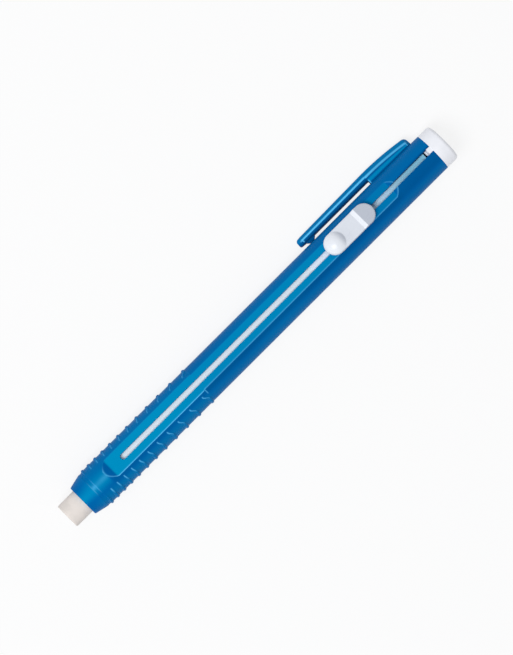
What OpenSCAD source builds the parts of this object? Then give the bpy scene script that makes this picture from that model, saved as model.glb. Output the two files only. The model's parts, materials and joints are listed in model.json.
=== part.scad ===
// Sliding stick eraser: a rubber stick in a ribbed barrel, with a thumb slide and a pocket clip.
// The barrel's axis is X. The eraser's face is at x = 0 and the end cap closes the far end.
// Every piece is drawn with the thumb slide on top and the clip toward +Y, and laid() then rolls
// it onto the barrel and the clip, the way the stick lies on a table.

/* [Eraser] */
// Radius of the rubber stick
eraser_r = 3.5; // [3:0.1:3.7]
// Length of the rubber stick
eraser_l = 91; // [70:1:94]
// Length of rubber that shows in front of the nose
eraser_out = 5.5; // [2:0.5:8]
// Width of the worn edge round the rubber's face
eraser_edge = 0.2; // [0.1:0.05:0.5]

/* [Barrel] */
// Outer radius of the barrel
barrel_r = 5.4; // [5.2:0.1:6.2]
// Length of the barrel from the nose rim to the cap
barrel_l = 123.6; // [118:0.2:140]
// Gap between the rubber stick and the barrel's main bore
bore_room = 0.5; // [0.4:0.05:0.6]
// Length of the cone at the nose
nose_l = 3.8; // [2:0.1:5]
// Radius of the nose at its rim
nose_rim_r = 4.45; // [4.2:0.05:4.9]
// Chamfer round the nose's rim
nose_chamfer = 0.15; // [0.05:0.05:0.3]
// Length of the close-fitting bore in the nose
nose_bore_l = 5; // [3:0.5:6]
// Length of the shallow band behind the cone
band_l = 1.05; // [0.6:0.05:2]
// Depth of the band below the lowest side of the grip
band_depth = 0.04; // [0.02:0.01:0.1]

/* [Grip] */
// Number of ribs on each side
rib_n = 12; // [2:1:12]
// Height of a rib at the barrel's side
rib_h = 0.3; // [0.15:0.05:0.5]
// Width of a rib where it leaves the barrel
rib_w = 1; // [0.8:0.05:1.3]
// Distance between the first two ribs
rib_pitch = 2.125; // [1.8:0.025:2.6]
// Factor by which each gap between ribs is wider than the one before it
rib_growth = 1.08; // [1:0.01:1.1]
// Lean of the ribs, with their upper ends toward the nose
rib_lean = 8; // [0:1:12]
// Angle from the top at which the ribs fade out
rib_fade = 38; // [34:1:60]
// Height of the grip above the plain barrel, at the top
grip_lift = 0.1; // [0.02:0.01:0.15]

/* [Recess and slot] */
// Depth of the flat recess below the top of the barrel
recess_depth = 0.66; // [0.5:0.02:0.8]
// Distance from the nose rim to the start of the recess
recess_start = 8.85; // [8:0.05:12]
// Length of the recess with its ramps
recess_l = 102.25; // [100:0.25:106]
// Length of the ramp at each end of the recess
ramp_l = 2; // [1:0.05:3]
// Width of the slot
slot_w = 1.55; // [1.2:0.05:2]
// Distance from the start of the recess to the start of the slot
slot_start = 5.65; // [4:0.05:7]

/* [Thumb slide] */
// Length of the slide's plate
plate_l = 16; // [14:0.5:18]
// Width of the slide's plate
plate_w = 5.7; // [5:0.1:6.4]
// Thickness of the slide's plate
plate_t = 1.2; // [0.9:0.1:1.6]
// Distance from the eraser's rear end to the front of the plate
plate_behind = 1.35; // [1:0.05:3]
// Distance that the slide moves when pressed
press_travel = 0.7; // [0.4:0.05:0.9]
// Radius of the dome where it meets the plate
dome_r = 2.75; // [2:0.05:2.8]
// Height of the dome above the plate
dome_h = 1.3; // [0.8:0.05:1.8]
// Height of the thumb ridge above the plate
ridge_h = 0.5; // [0.2:0.05:0.8]
// Length of the face that rises to the thumb ridge
ridge_l = 1; // [0.6:0.1:1.6]
// Length of the slope behind the thumb ridge
slope_l = 4.1; // [3:0.1:5]
// Drop of that slope below the plate's top, at the rear edge
slope_drop = 0.45; // [0.2:0.05:0.7]
// Length of the neck that runs in the slot
neck_l = 6.5; // [5:0.1:8]
// Length of the foot under the neck
foot_l = 8.5; // [8.2:0.1:9]
// Width of the foot
foot_w = 3; // [2.4:0.1:3.2]
// Thickness of the foot
foot_t = 0.95; // [0.8:0.05:1.2]

/* [Carrier and spring] */
// Length of the eraser's rear end that the carrier holds
grip_l = 4; // [3:0.5:4]
// Width of the slit that lets the carrier's jaws spread
jaw_slit_w = 0.6; // [0.4:0.1:1]
// Length of that slit
jaw_slit_l = 3; // [2:0.5:3.5]
// Length of the carrier's solid end behind the spring's pocket
hub_end_l = 2; // [1:0.1:2.4]
// Gap between the rail behind the thumb slide and the barrel's bore
rail_room = 1; // [0.9:0.05:1.2]
// Thickness of the leaf spring
leaf_t = 0.3; // [0.2:0.05:0.4]
// Width of the leaf spring
leaf_w = 2.6; // [2:0.1:3]
// Length of the leaf spring
leaf_l = 9; // [8:0.1:9.4]
// Rise of the leaf spring's bow
leaf_rise = 1.05; // [0.95:0.05:1.2]

/* [Pocket clip] */
// Width of the clip
clip_w = 3.5; // [2.8:0.1:4.5]
// Length of the clip
clip_l = 37.8; // [34:0.2:42]
// Length of the clip's root, which joins the barrel
root_l = 14.1; // [10:0.1:18]
// Distance from the root's rear end to the cap
root_back = 2.4; // [1:0.1:4]
// Gap between the clip's arm and the barrel
clip_gap = 0.9; // [0.5:0.05:1.2]
// Height of the clip's back above the barrel, at its highest
clip_rise = 3.42; // [3:0.02:4]
// Drop of the clip's back toward its free end
arm_drop = 0.35; // [0:0.05:0.6]
// Radius of the bow of the clip's back over its root
bow_r = 83; // [80:1:200]
// Radius of the clip's outer edges
clip_edge_r = 1.2; // [0.5:0.05:1.35]
// Radius of the corner at the clip's rear end
clip_corner_r = 0.9; // [0.3:0.1:1.2]
// Length of the nub where it leaves the arm
nub_l = 3.2; // [2:0.1:3.5]
// Length of the nub's tip
nub_tip_l = 1.2; // [0.8:0.1:1.6]
// Distance from the clip's free end to the nub
nub_back = 1.6; // [1.2:0.1:2.5]

/* [End cap] */
// Length of the cap outside the barrel
cap_l = 3.9; // [3:0.1:6]
// Radius of the cap's edge
cap_edge_r = 0.9; // [0.4:0.05:1.2]
// Thickness of the cap's end wall
cap_wall = 0.5; // [0.4:0.05:1]
// Length of the plug inside the barrel
plug_l = 1.9; // [1.6:0.1:3]
// Length of the bead round the plug's front
bead_l = 0.5; // [0.3:0.05:0.8]
// Height of the bead above the plug
bead_h = 0.25; // [0.1:0.05:0.35]
// Length of the key that fills the end of the slot
key_l = 1.2; // [0.6:0.05:1.2]
// Depth of the key's top below the barrel's surface
key_drop = 0.15; // [0.05:0.05:0.4]

/* [Fits] */
// Gap between the rubber stick and the nose
eraser_gap = 0.15; // [0.05:0.05:0.3]
// Gap between the rubber stick and the carrier that holds it
hold_gap = 0.02; // [0.01:0.01:0.05]
// Gap between the carrier and the barrel
carrier_gap = 0.1; // [0.05:0.01:0.15]
// Gap on each side of the neck in the slot and the foot in its pocket
neck_gap = 0.1; // [0.05:0.01:0.2]
// Gap between a pressed thumb slide and the floor under it
floor_gap = 0.06; // [0.03:0.01:0.2]
// Gap above the foot, and above and below the leaf spring
foot_gap = 0.03; // [0.02:0.01:0.05]
// Gap between the rail and the cap, sideways and at the end of the stroke
rail_gap = 0.2; // [0.1:0.05:0.3]
// Gap between the cap's plug and the barrel
plug_gap = 0.02; // [0.01:0.01:0.05]
// Gap between the nub and the barrel
nub_gap = 0.05; // [0.02:0.01:0.1]

/* [Hidden] */
$fn = 64;
EDGE_FN = 32;
THIN = 0.01;
CUT = 1;

barrel_blue = [0.0, 0.36, 0.66];
moulded_white = [0.90, 0.91, 0.93];
rubber_white = [0.92, 0.90, 0.88];
spring_grey = [0.65, 0.66, 0.68];

// Places along the barrel, from the eraser's face
rim_x = eraser_out;
band_x = rim_x + nose_l;
grip_x = band_x + band_l;
bore_x = rim_x + nose_bore_l;
end_x = rim_x + barrel_l;
recess_x0 = rim_x + recess_start;
recess_x1 = recess_x0 + recess_l;
slot_x = recess_x0 + slot_start;

// Barrel
bore_r = eraser_r + bore_room;
nose_bore_r = eraser_r + eraser_gap;
band_r = barrel_r - grip_lift - band_depth;
cone_r = band_r + 2 * band_depth;
floor_z = barrel_r - recess_depth;

// Ribs: a ring whose centre is moved sideways, so that it stands rib_h proud at the side of the
// barrel and sinks into it at rib_fade
first_rib_x = grip_x + rib_w / 4;
rib_round_r = (rib_w * rib_w / 4 + rib_h * rib_h) / (2 * rib_h);
rib_shift = rib_h / (1 - sin(rib_fade));
rib_ring_r = barrel_r + rib_h - rib_shift - rib_round_r;
rib_arc = 2 * (90 - rib_fade) + 16;
function rib_x(i) = first_rib_x
    + rib_pitch * (rib_growth == 1 ? i : (pow(rib_growth, i) - 1) / (rib_growth - 1));
grip_end_x = rib_x(rib_n - 1) + 0.6 * rib_w;

// Thumb slide
plate_x = eraser_l + plate_behind;
plate_z0 = floor_z + floor_gap + press_travel;
plate_z1 = plate_z0 + plate_t;
ridge_x = plate_x + plate_l - slope_l;
dome_x = plate_x + plate_w / 2;
dome_ball_r = (dome_r * dome_r + dome_h * dome_h) / (2 * dome_h);
neck_w = slot_w - 2 * neck_gap;
foot_x = plate_x + (plate_l - foot_l) / 2;
neck_x = foot_x + (foot_l - neck_l) / 2;
foot_z1 = sqrt(pow(bore_r, 2) - pow(foot_w / 2, 2)) - neck_gap - foot_gap;
foot_z0 = foot_z1 - foot_t;

// Carrier and its spring
carrier_r = bore_r - carrier_gap;
carrier_x = eraser_l - grip_l;
seat_x = eraser_l + hold_gap;
leaf_z0 = foot_z0 - foot_gap - leaf_t - leaf_rise;
leaf_r = (leaf_l * leaf_l / 4 + leaf_rise * leaf_rise) / (2 * leaf_rise);
leaf_x = foot_x + foot_l / 2;
pocket_l = max(foot_l, leaf_l) + 4 * neck_gap;
pocket_w = max(foot_w, leaf_w) + 2 * neck_gap;
pocket_z = leaf_z0 - foot_gap;
hub_x1 = leaf_x + pocket_l / 2 + hub_end_l;

// End cap
cap_x1 = end_x + cap_l;
plug_r = bore_r - plug_gap;
rail_r = bore_r - rail_room;
plug_bore_r = rail_r + rail_gap;
rail_x1 = cap_x1 - cap_wall - rail_gap - eraser_out;

// Clip
clip_x1 = end_x - root_back;
clip_x0 = clip_x1 - clip_l;
root_x = clip_x1 - root_l;
arm_y0 = barrel_r + clip_gap;
peak_y = barrel_r + clip_rise;
root_y0 = (barrel_r + bore_r) / 2;
function back_y(x) = x < root_x
    ? peak_y - arm_drop * (root_x - x) / (root_x - clip_x0)
    : peak_y - pow(x - root_x, 2) / (2 * bow_r);

// Roll at which the barrel and the clip's outer edge touch the same flat table
clip_side = clip_w / 2 - clip_edge_r;
clip_high = peak_y - clip_edge_r;
lie_roll = asin((barrel_r - clip_edge_r) / norm([clip_high, clip_side])) - atan2(clip_side, clip_high);

module laid() {
    rotate([-lie_roll, 0, 0]) children();
}

// Round rod along X, with its front end at x
module rod(x, r, l, r2 = -1) {
    translate([x, 0, 0]) rotate([0, 90, 0]) cylinder(r1 = r, r2 = r2 < 0 ? r : r2, h = l);
}

// Block whose width is centred on the barrel's axis
module block(x, z, l, w, h) {
    translate([x, -w / 2, z]) cube([l, w, h]);
}

module rib(x, side) {
    translate([x, side * rib_shift, 0])
        rotate([0, 90 - rib_lean, 0])
            rotate([0, 0, side * 90 - rib_arc / 2])
                rotate_extrude(angle = rib_arc)
                    translate([rib_ring_r, 0]) circle(r = rib_round_r, $fn = EDGE_FN);
}

module barrel_outside() {
    rod(rim_x, nose_rim_r - nose_chamfer, nose_chamfer, nose_rim_r);
    rod(rim_x + nose_chamfer, nose_rim_r, nose_l - nose_chamfer, cone_r);
    rod(band_x, band_r, band_l);
    translate([0, 0, grip_lift]) rod(grip_x, barrel_r, grip_end_x - grip_x);
    rod(grip_end_x, barrel_r, end_x - grip_end_x);
    for (i = [0 : rib_n - 1]) for (side = [-1, 1]) rib(rib_x(i), side);
}

// The recess has a flat floor and a flat ramp at each end, across the whole width of the barrel
module recess() {
    rise = CUT + recess_depth;
    run = rise * ramp_l / recess_depth;
    floor_x0 = recess_x0 + ramp_l;
    floor_x1 = recess_x1 - ramp_l;
    rotate([90, 0, 0]) translate([0, 0, -barrel_r]) linear_extrude(2 * barrel_r) polygon([
        [floor_x0, floor_z], [floor_x1, floor_z],
        [floor_x1 + run, floor_z + rise], [floor_x0 - run, floor_z + rise]]);
}

module slot() {
    translate([slot_x + slot_w / 2, 0, 0]) cylinder(d = slot_w, h = barrel_r + CUT);
    block(slot_x + slot_w / 2, 0, end_x + CUT - slot_x, slot_w, barrel_r + CUT);
}

// Section of the clip, with round outer edges: x runs up to the clip's back at 0, y across it
module clip_section(depth) {
    translate([-depth, -clip_w / 2]) square([depth - clip_edge_r, clip_w]);
    translate([-depth, -clip_side]) square([depth, 2 * clip_side]);
    for (y = [-clip_side, clip_side]) translate([-clip_edge_r, y]) circle(r = clip_edge_r);
}

// The root's back is an arc that leaves the arm's end level and falls toward the cap
module clip_root() {
    sweep = asin((root_l + CUT) / bow_r);
    corner_x = clip_x1 - clip_corner_r;
    corner_y = back_y(corner_x) - clip_corner_r;
    intersection() {
        translate([root_x, peak_y - bow_r, 0]) rotate([0, 0, 90 - sweep])
            rotate_extrude(angle = sweep) translate([bow_r, 0]) clip_section(peak_y);
        translate([0, 0, -clip_w]) linear_extrude(2 * clip_w) {
            translate([root_x, root_y0]) square([corner_x - root_x, peak_y]);
            translate([root_x, root_y0]) square([root_l, corner_y - root_y0]);
            translate([corner_x, corner_y]) circle(r = clip_corner_r);
        }
    }
}

module pocket_clip() color(barrel_blue) laid() {
    end_r = (back_y(clip_x0) - arm_y0) / 2;
    arm_l = root_x - clip_x0;
    nub_x = clip_x0 + nub_back;
    taper = (nub_l - nub_tip_l) / 2;
    intersection() {
        translate([root_x, peak_y, 0]) rotate([0, 0, atan2(arm_drop, arm_l)]) rotate([0, -90, 0])
            linear_extrude(2 * arm_l) rotate([0, 0, 90]) clip_section(peak_y);
        translate([0, 0, -clip_w]) linear_extrude(2 * clip_w) {
            translate([clip_x0 + end_r, arm_y0]) square([arm_l - end_r, peak_y]);
            translate([clip_x0 + end_r, arm_y0 + end_r]) circle(r = end_r);
        }
    }
    translate([0, 0, -clip_side - clip_edge_r / 2]) linear_extrude(2 * clip_side + clip_edge_r) polygon([
        [nub_x, arm_y0 + THIN], [nub_x + nub_l, arm_y0 + THIN],
        [nub_x + nub_l - taper, barrel_r + nub_gap], [nub_x + taper, barrel_r + nub_gap]]);
}

module barrel() color(barrel_blue) laid() difference() {
    union() {
        barrel_outside();
        clip_root();
    }
    rod(rim_x - CUT, nose_bore_r, nose_bore_l + 2 * CUT);
    rod(bore_x, bore_r, end_x + CUT - bore_x);
    recess();
    slot();
}

module eraser() color(rubber_white) laid() {
    rod(0, eraser_r - eraser_edge, eraser_edge, eraser_r);
    rod(eraser_edge, eraser_r, eraser_l - eraser_edge);
}

module end_cap() color(moulded_white) laid() difference() {
    union() {
        translate([end_x, 0, 0]) rotate([0, 90, 0]) rotate_extrude() {
            square([barrel_r, cap_l - cap_edge_r]);
            square([barrel_r - cap_edge_r, cap_l]);
            translate([barrel_r - cap_edge_r, cap_l - cap_edge_r]) circle(r = cap_edge_r);
        }
        rod(end_x - plug_l, plug_r, bead_l);
        rod(end_x - plug_l, plug_r - bead_h, plug_l + THIN);
        block(end_x - key_l, 0, key_l + THIN, slot_w - 2 * plug_gap, barrel_r - key_drop);
    }
    rod(end_x - plug_l - CUT, plug_bore_r, plug_l + CUT + cap_l - cap_wall);
}

module stadium(x, z, l, w, h) {
    for (end = [x + w / 2, x + l - w / 2]) translate([end, 0, z]) cylinder(d = w, h = h);
    block(x + w / 2, z, l - w, w, h);
}

module thumb_slide() color(moulded_white) laid() {
    rear = plate_x + plate_l;
    intersection() {
        stadium(plate_x, plate_z0, plate_l, plate_w, plate_t + ridge_h);
        rotate([90, 0, 0]) translate([0, 0, -plate_w]) linear_extrude(2 * plate_w) polygon([
            [plate_x - CUT, plate_z0], [rear + CUT, plate_z0],
            [rear, plate_z1 - slope_drop], [ridge_x, plate_z1 + ridge_h],
            [ridge_x - ridge_l, plate_z1], [plate_x - CUT, plate_z1]]);
    }
    intersection() {
        translate([dome_x, 0, plate_z1 + dome_h - dome_ball_r]) sphere(r = dome_ball_r);
        translate([dome_x, 0, plate_z1 - THIN]) cylinder(r = dome_ball_r, h = dome_h + 2 * THIN);
    }
    block(neck_x, foot_z0, neck_l, neck_w, plate_z0 + THIN - foot_z0);
    block(foot_x, foot_z0, foot_l, foot_w, foot_t);
}

module carrier() color(moulded_white) laid() difference() {
    union() {
        rod(carrier_x, carrier_r, hub_x1 - carrier_x);
        rod(hub_x1, rail_r, rail_x1 - hub_x1);
    }
    rod(carrier_x - CUT, eraser_r + hold_gap, seat_x - carrier_x + CUT);
    block(leaf_x - pocket_l / 2, pocket_z, pocket_l, pocket_w, 2 * carrier_r);
    block(carrier_x - CUT, -carrier_r - CUT, jaw_slit_l + CUT, jaw_slit_w, carrier_r);
}

module lock_spring() color(spring_grey) laid() intersection() {
    centre_z = leaf_z0 + leaf_rise - leaf_r;
    translate([leaf_x, leaf_w / 2, centre_z]) rotate([90, 0, 0]) difference() {
        cylinder(r = leaf_r + leaf_t, h = leaf_w);
        translate([0, 0, -CUT]) cylinder(r = leaf_r, h = leaf_w + 2 * CUT);
    }
    block(leaf_x - leaf_l / 2, leaf_z0, leaf_l, leaf_w + CUT, leaf_rise + leaf_t + CUT);
}

eraser();
barrel();
pocket_clip();
end_cap();
thumb_slide();
carrier();
lock_spring();
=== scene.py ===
"""Looks of a sliding stick eraser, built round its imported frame.

Lengths are metres. Each shape is drawn upright: the barrel's axis along X with the eraser's face
at x = 0, the thumb slide on top and the pocket clip toward +Y. Roll.lay() then turns the points
about the barrel's axis, the way the stick lies on the table.
"""

import json
import logging
import math
from dataclasses import dataclass, field
from enum import Enum

import bmesh
import bpy
import numpy as np
from mathutils import Matrix, Vector


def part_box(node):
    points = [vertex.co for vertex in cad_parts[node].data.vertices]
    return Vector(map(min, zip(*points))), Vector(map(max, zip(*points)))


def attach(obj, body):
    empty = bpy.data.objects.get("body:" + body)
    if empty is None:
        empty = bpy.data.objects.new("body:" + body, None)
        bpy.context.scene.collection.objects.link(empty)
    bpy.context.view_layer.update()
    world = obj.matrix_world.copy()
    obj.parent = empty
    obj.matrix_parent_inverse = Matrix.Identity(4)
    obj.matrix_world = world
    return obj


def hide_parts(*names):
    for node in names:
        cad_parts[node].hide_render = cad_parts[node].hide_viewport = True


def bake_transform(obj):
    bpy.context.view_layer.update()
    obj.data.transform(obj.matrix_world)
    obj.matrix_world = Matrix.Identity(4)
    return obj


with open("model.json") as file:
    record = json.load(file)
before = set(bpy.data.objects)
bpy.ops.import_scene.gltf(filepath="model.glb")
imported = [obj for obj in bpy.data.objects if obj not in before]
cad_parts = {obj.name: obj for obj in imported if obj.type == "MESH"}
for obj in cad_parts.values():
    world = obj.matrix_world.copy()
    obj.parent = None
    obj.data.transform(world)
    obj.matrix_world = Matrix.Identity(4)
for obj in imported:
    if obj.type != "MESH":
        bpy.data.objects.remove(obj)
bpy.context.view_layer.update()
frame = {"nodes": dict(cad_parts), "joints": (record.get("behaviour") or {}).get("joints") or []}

MM = 0.001
MERGE = 1e-7
SNAP = 1.4
LOG = logging.getLogger("stick_eraser")


class Slot(Enum):
    """Material slots of the record that the pieces take their finish from."""

    RUBBER = "rubber"
    BLUE = "barrel_blue"
    WHITE = "white_plastic"
    STEEL = "spring_steel"


class Body(Enum):
    """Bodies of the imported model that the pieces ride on."""

    BARREL = "barrel"
    CLIP = "clip"
    SLIDER = "slider"
    BUTTON = "button"


class Side(Enum):
    """Sides of the barrel, as the sign of y."""

    CLIP = 1.0
    FAR = -1.0


def soft_max(a: np.ndarray, b: np.ndarray | float, width: float) -> np.ndarray:
    """Larger of two heights, with the crease between them rounded.

    Half of a + b + the root of (a - b)² + width².

    Args:
        a: First heights.
        b: Second heights.
        width: How far from the crease the rounding reaches.

    Returns:
        The rounded heights.
    """
    return 0.5 * (a + b + np.sqrt((a - b) ** 2 + width**2))


def soft_min(a: np.ndarray, b: np.ndarray | float, width: float) -> np.ndarray:
    """Smaller of two heights, rounded in the same way as soft_max().

    Args:
        a: First heights.
        b: Second heights.
        width: How far from the crease the rounding reaches.

    Returns:
        The rounded heights.
    """
    return 0.5 * (a + b - np.sqrt((a - b) ** 2 + width**2))


def ease(start: float, end: float, value: np.ndarray) -> np.ndarray:
    """Share from 0 at start to 1 at end, as 3t² - 2t³.

    Args:
        start: Value at which the share is 0.
        end: Value at which the share is 1.
        value: Values to work the share out for.

    Returns:
        The shares.
    """
    t = np.clip((value - start) / (end - start), 0.0, 1.0)
    return t * t * (3.0 - 2.0 * t)


def edge_drop(distance: np.ndarray, radius: float | np.ndarray) -> np.ndarray:
    """How far a rounded edge lies inside the sharp one: r less the root of r² - (r - d)².

    Args:
        distance: Distance d from the edge, measured along the face.
        radius: Radius r of the rounding.

    Returns:
        The drop, which is r at the edge and 0 from r inward.
    """
    inset = np.clip(radius - distance, 0.0, radius)
    return radius - np.sqrt(np.maximum(radius**2 - inset**2, 0.0))


def falloff(distance: np.ndarray, width: float) -> np.ndarray:
    """Share that falls from 1 with distance, as e to the power of minus (distance / width)²."""
    return np.exp(-((distance / width) ** 2))


def quarter(points: int) -> np.ndarray:
    """Angles of a quarter turn, evenly spread from 0 to 90 degrees."""
    return np.radians(np.linspace(0.0, 90.0, points))


@dataclass(frozen=True)
class Fade:
    """A share that eases from 0 at start to the amount at end, which may lie before start."""

    start: float
    end: float
    amount: float = 1.0

    def at(self, value: np.ndarray) -> np.ndarray:
        """The share at each value."""
        return self.amount * ease(self.start, self.end, value)


@dataclass(frozen=True)
class Span:
    """A stretch of an axis on which grid lines stand close together."""

    start: float
    end: float
    step: float


def spread(start: float, end: float, coarse: float, spans: list[Span]) -> np.ndarray:
    """Places grid lines from start to end, each span's own step apart inside it.

    A span's start or end less than SNAP steps ahead is the next line.

    Args:
        start: First line.
        end: Last line.
        coarse: Largest distance between two lines.
        spans: Stretches with a smaller step.

    Returns:
        The places of the lines, in rising order.
    """
    lines = [start]
    while lines[-1] < end - MERGE:
        here = lines[-1] + MERGE
        steps = [s.step for s in spans if s.start <= here < s.end]
        step = min([coarse, *steps])
        marks = [edge for s in spans for edge in (s.start, s.end) if here < edge < here + SNAP * step]
        lines.append(min([end, *marks]) if marks else min(lines[-1] + step, end))
    return np.array(lines)


@dataclass(frozen=True)
class Roll:
    """Turn about the barrel's axis that lays the upright shapes on the table."""

    cos: float
    sin: float

    @classmethod
    def from_joint(cls, name: str) -> "Roll":
        """Reads the turn from the joint whose axis points straight down in the upright frame.

        Args:
            name: Name of the joint.

        Returns:
            The turn.
        """
        axis = next(joint["axis"] for joint in frame["joints"] if joint["name"] == name)
        return cls(cos=-axis[2], sin=-axis[1])

    def lay(self, points: np.ndarray) -> np.ndarray:
        """Turns upright points: y becomes y cos + z sin, and z becomes z cos - y sin.

        Args:
            points: Points, three numbers in the last axis.

        Returns:
            The turned points.
        """
        x, y, z = np.moveaxis(points, -1, 0)
        return np.stack([x, y * self.cos + z * self.sin, z * self.cos - y * self.sin], axis=-1)

    def point(self, x: float, y: float, z: float) -> Vector:
        """One upright point or direction, turned."""
        return Vector(self.lay(np.array([x, y, z])))


ROLL = Roll.from_joint("button_press")


def new_object(name: str, data: bpy.types.ID) -> bpy.types.Object:
    """Makes an object of a mesh, a camera or a lamp and links it to the scene.

    Args:
        name: Name of the object.
        data: What it shows.

    Returns:
        The object.
    """
    thing = bpy.data.objects.new(name, data)
    bpy.context.scene.collection.objects.link(thing)
    return thing


@dataclass
class Skin:
    """Points and faces of one piece, gathered sheet by sheet."""

    name: str
    points: list[np.ndarray] = field(default_factory=list)
    painted_light: list[np.ndarray] = field(default_factory=list)
    painted_highlight: list[np.ndarray] = field(default_factory=list)
    faces: list[list[int]] = field(default_factory=list)
    count: int = 0

    def add_points(self, points: np.ndarray, painted_light: np.ndarray | float = 0.0,
                   painted_highlight: np.ndarray | float = 0.0) -> np.ndarray:
        """Adds points and gives their numbers.

        Args:
            points: Array of points, three numbers in the last axis.
            painted_light: Painted light through the wall and painted shade at each point.
            painted_highlight: Painted highlight along an edge at each point, from 0 to 1.

        Returns:
            The points' numbers, in the shape of the array.
        """
        shape = points.shape[:-1]
        size = int(np.prod(shape))
        self.points.append(points.reshape(-1, 3))
        self.painted_light.append(np.broadcast_to(painted_light, shape).reshape(-1))
        self.painted_highlight.append(np.broadcast_to(painted_highlight, shape).reshape(-1))
        numbers = self.count + np.arange(size).reshape(shape)
        self.count += size
        return numbers

    def add_quads(self, numbers: np.ndarray, closed: bool = False, keep: np.ndarray | None = None) -> None:
        """Joins neighbouring rows and columns of a grid of points by quads.

        Args:
            numbers: The points' numbers, rows by columns.
            closed: Whether the last column is joined to the first.
            keep: Which quads to make, one row and, on an open grid, one column fewer than the points.
        """
        after = np.roll(numbers, -1, axis=1)
        quads = np.stack([numbers[:-1], numbers[1:], after[1:], after[:-1]], axis=-1)
        if not closed:
            quads = quads[:, :-1]
        if keep is not None:
            quads = quads[keep]
        self.faces.extend(quads.reshape(-1, 4).tolist())

    def add_cap(self, ring: np.ndarray) -> None:
        """Closes a flat ring of points with one face."""
        self.faces.append(ring.tolist())

    def add_rings(self, rings: np.ndarray, painted_light: np.ndarray | float = 0.0,
                  painted_highlight: np.ndarray | float = 0.0) -> None:
        """Adds a closed shell: rings joined by quads, and a flat face over the first and the last.

        Args:
            rings: Points, rings by columns by three.
            painted_light: Painted light through the wall and painted shade at each point.
            painted_highlight: Painted highlight along an edge at each point.
        """
        numbers = self.add_points(rings, painted_light, painted_highlight)
        self.add_quads(numbers, closed=True)
        self.add_cap(numbers[0])
        self.add_cap(numbers[-1])

    def build(self, sharp_deg: float = 32.0) -> bpy.types.Object:
        """Makes the mesh, laid on the table, with its doubles merged and its faces outward.

        Args:
            sharp_deg: Angle from which an edge shows as sharp.

        Returns:
            The new object.
        """
        mesh = bpy.data.meshes.new(self.name)
        points = ROLL.lay(np.concatenate(self.points))
        mesh.from_pydata(points.tolist(), [], self.faces)
        # Both attributes carry painted light: light and shade, and highlights on edges.
        for key, values in (("painted_light", self.painted_light), ("painted_highlight", self.painted_highlight)):
            layer = mesh.attributes.new(key, "FLOAT", "POINT")
            layer.data.foreach_set("value", np.concatenate(values).astype(np.float32))
        work = bmesh.new()
        work.from_mesh(mesh)
        bmesh.ops.remove_doubles(work, verts=work.verts, dist=MERGE)
        bmesh.ops.dissolve_degenerate(work, edges=work.edges, dist=MERGE)
        bmesh.ops.recalc_face_normals(work, faces=work.faces)
        work.to_mesh(mesh)
        work.free()
        mesh.polygons.foreach_set("use_smooth", np.ones(len(mesh.polygons), dtype=bool))
        mesh.set_sharp_from_angle(angle=math.radians(sharp_deg))
        return new_object(self.name, mesh)


def revolve(profile: np.ndarray, columns: int) -> np.ndarray:
    """Rings about the barrel's axis: each profile point (x, r) gives (x, r sin a, r cos a).

    Args:
        profile: Points (x, r) of the profile.
        columns: Number of points round a ring.

    Returns:
        The rings, profile points by columns by three.
    """
    angle = np.linspace(0.0, 2.0 * math.pi, columns, endpoint=False)
    x = np.repeat(profile[:, :1], columns, axis=1)
    y = profile[:, 1:] * np.sin(angle)
    z = profile[:, 1:] * np.cos(angle)
    return np.stack([x, y, z], axis=-1)


@dataclass(frozen=True)
class Pattern:
    """Noise on the object's own coordinates.

    Attributes:
        size: Size of its features, in metres.
        detail: How much finer noise it carries.
        stretch: Factor on the pattern's frequency along each axis.
    """

    size: float
    detail: float = 2.0
    stretch: tuple = (1.0, 1.0, 1.0)


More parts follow.
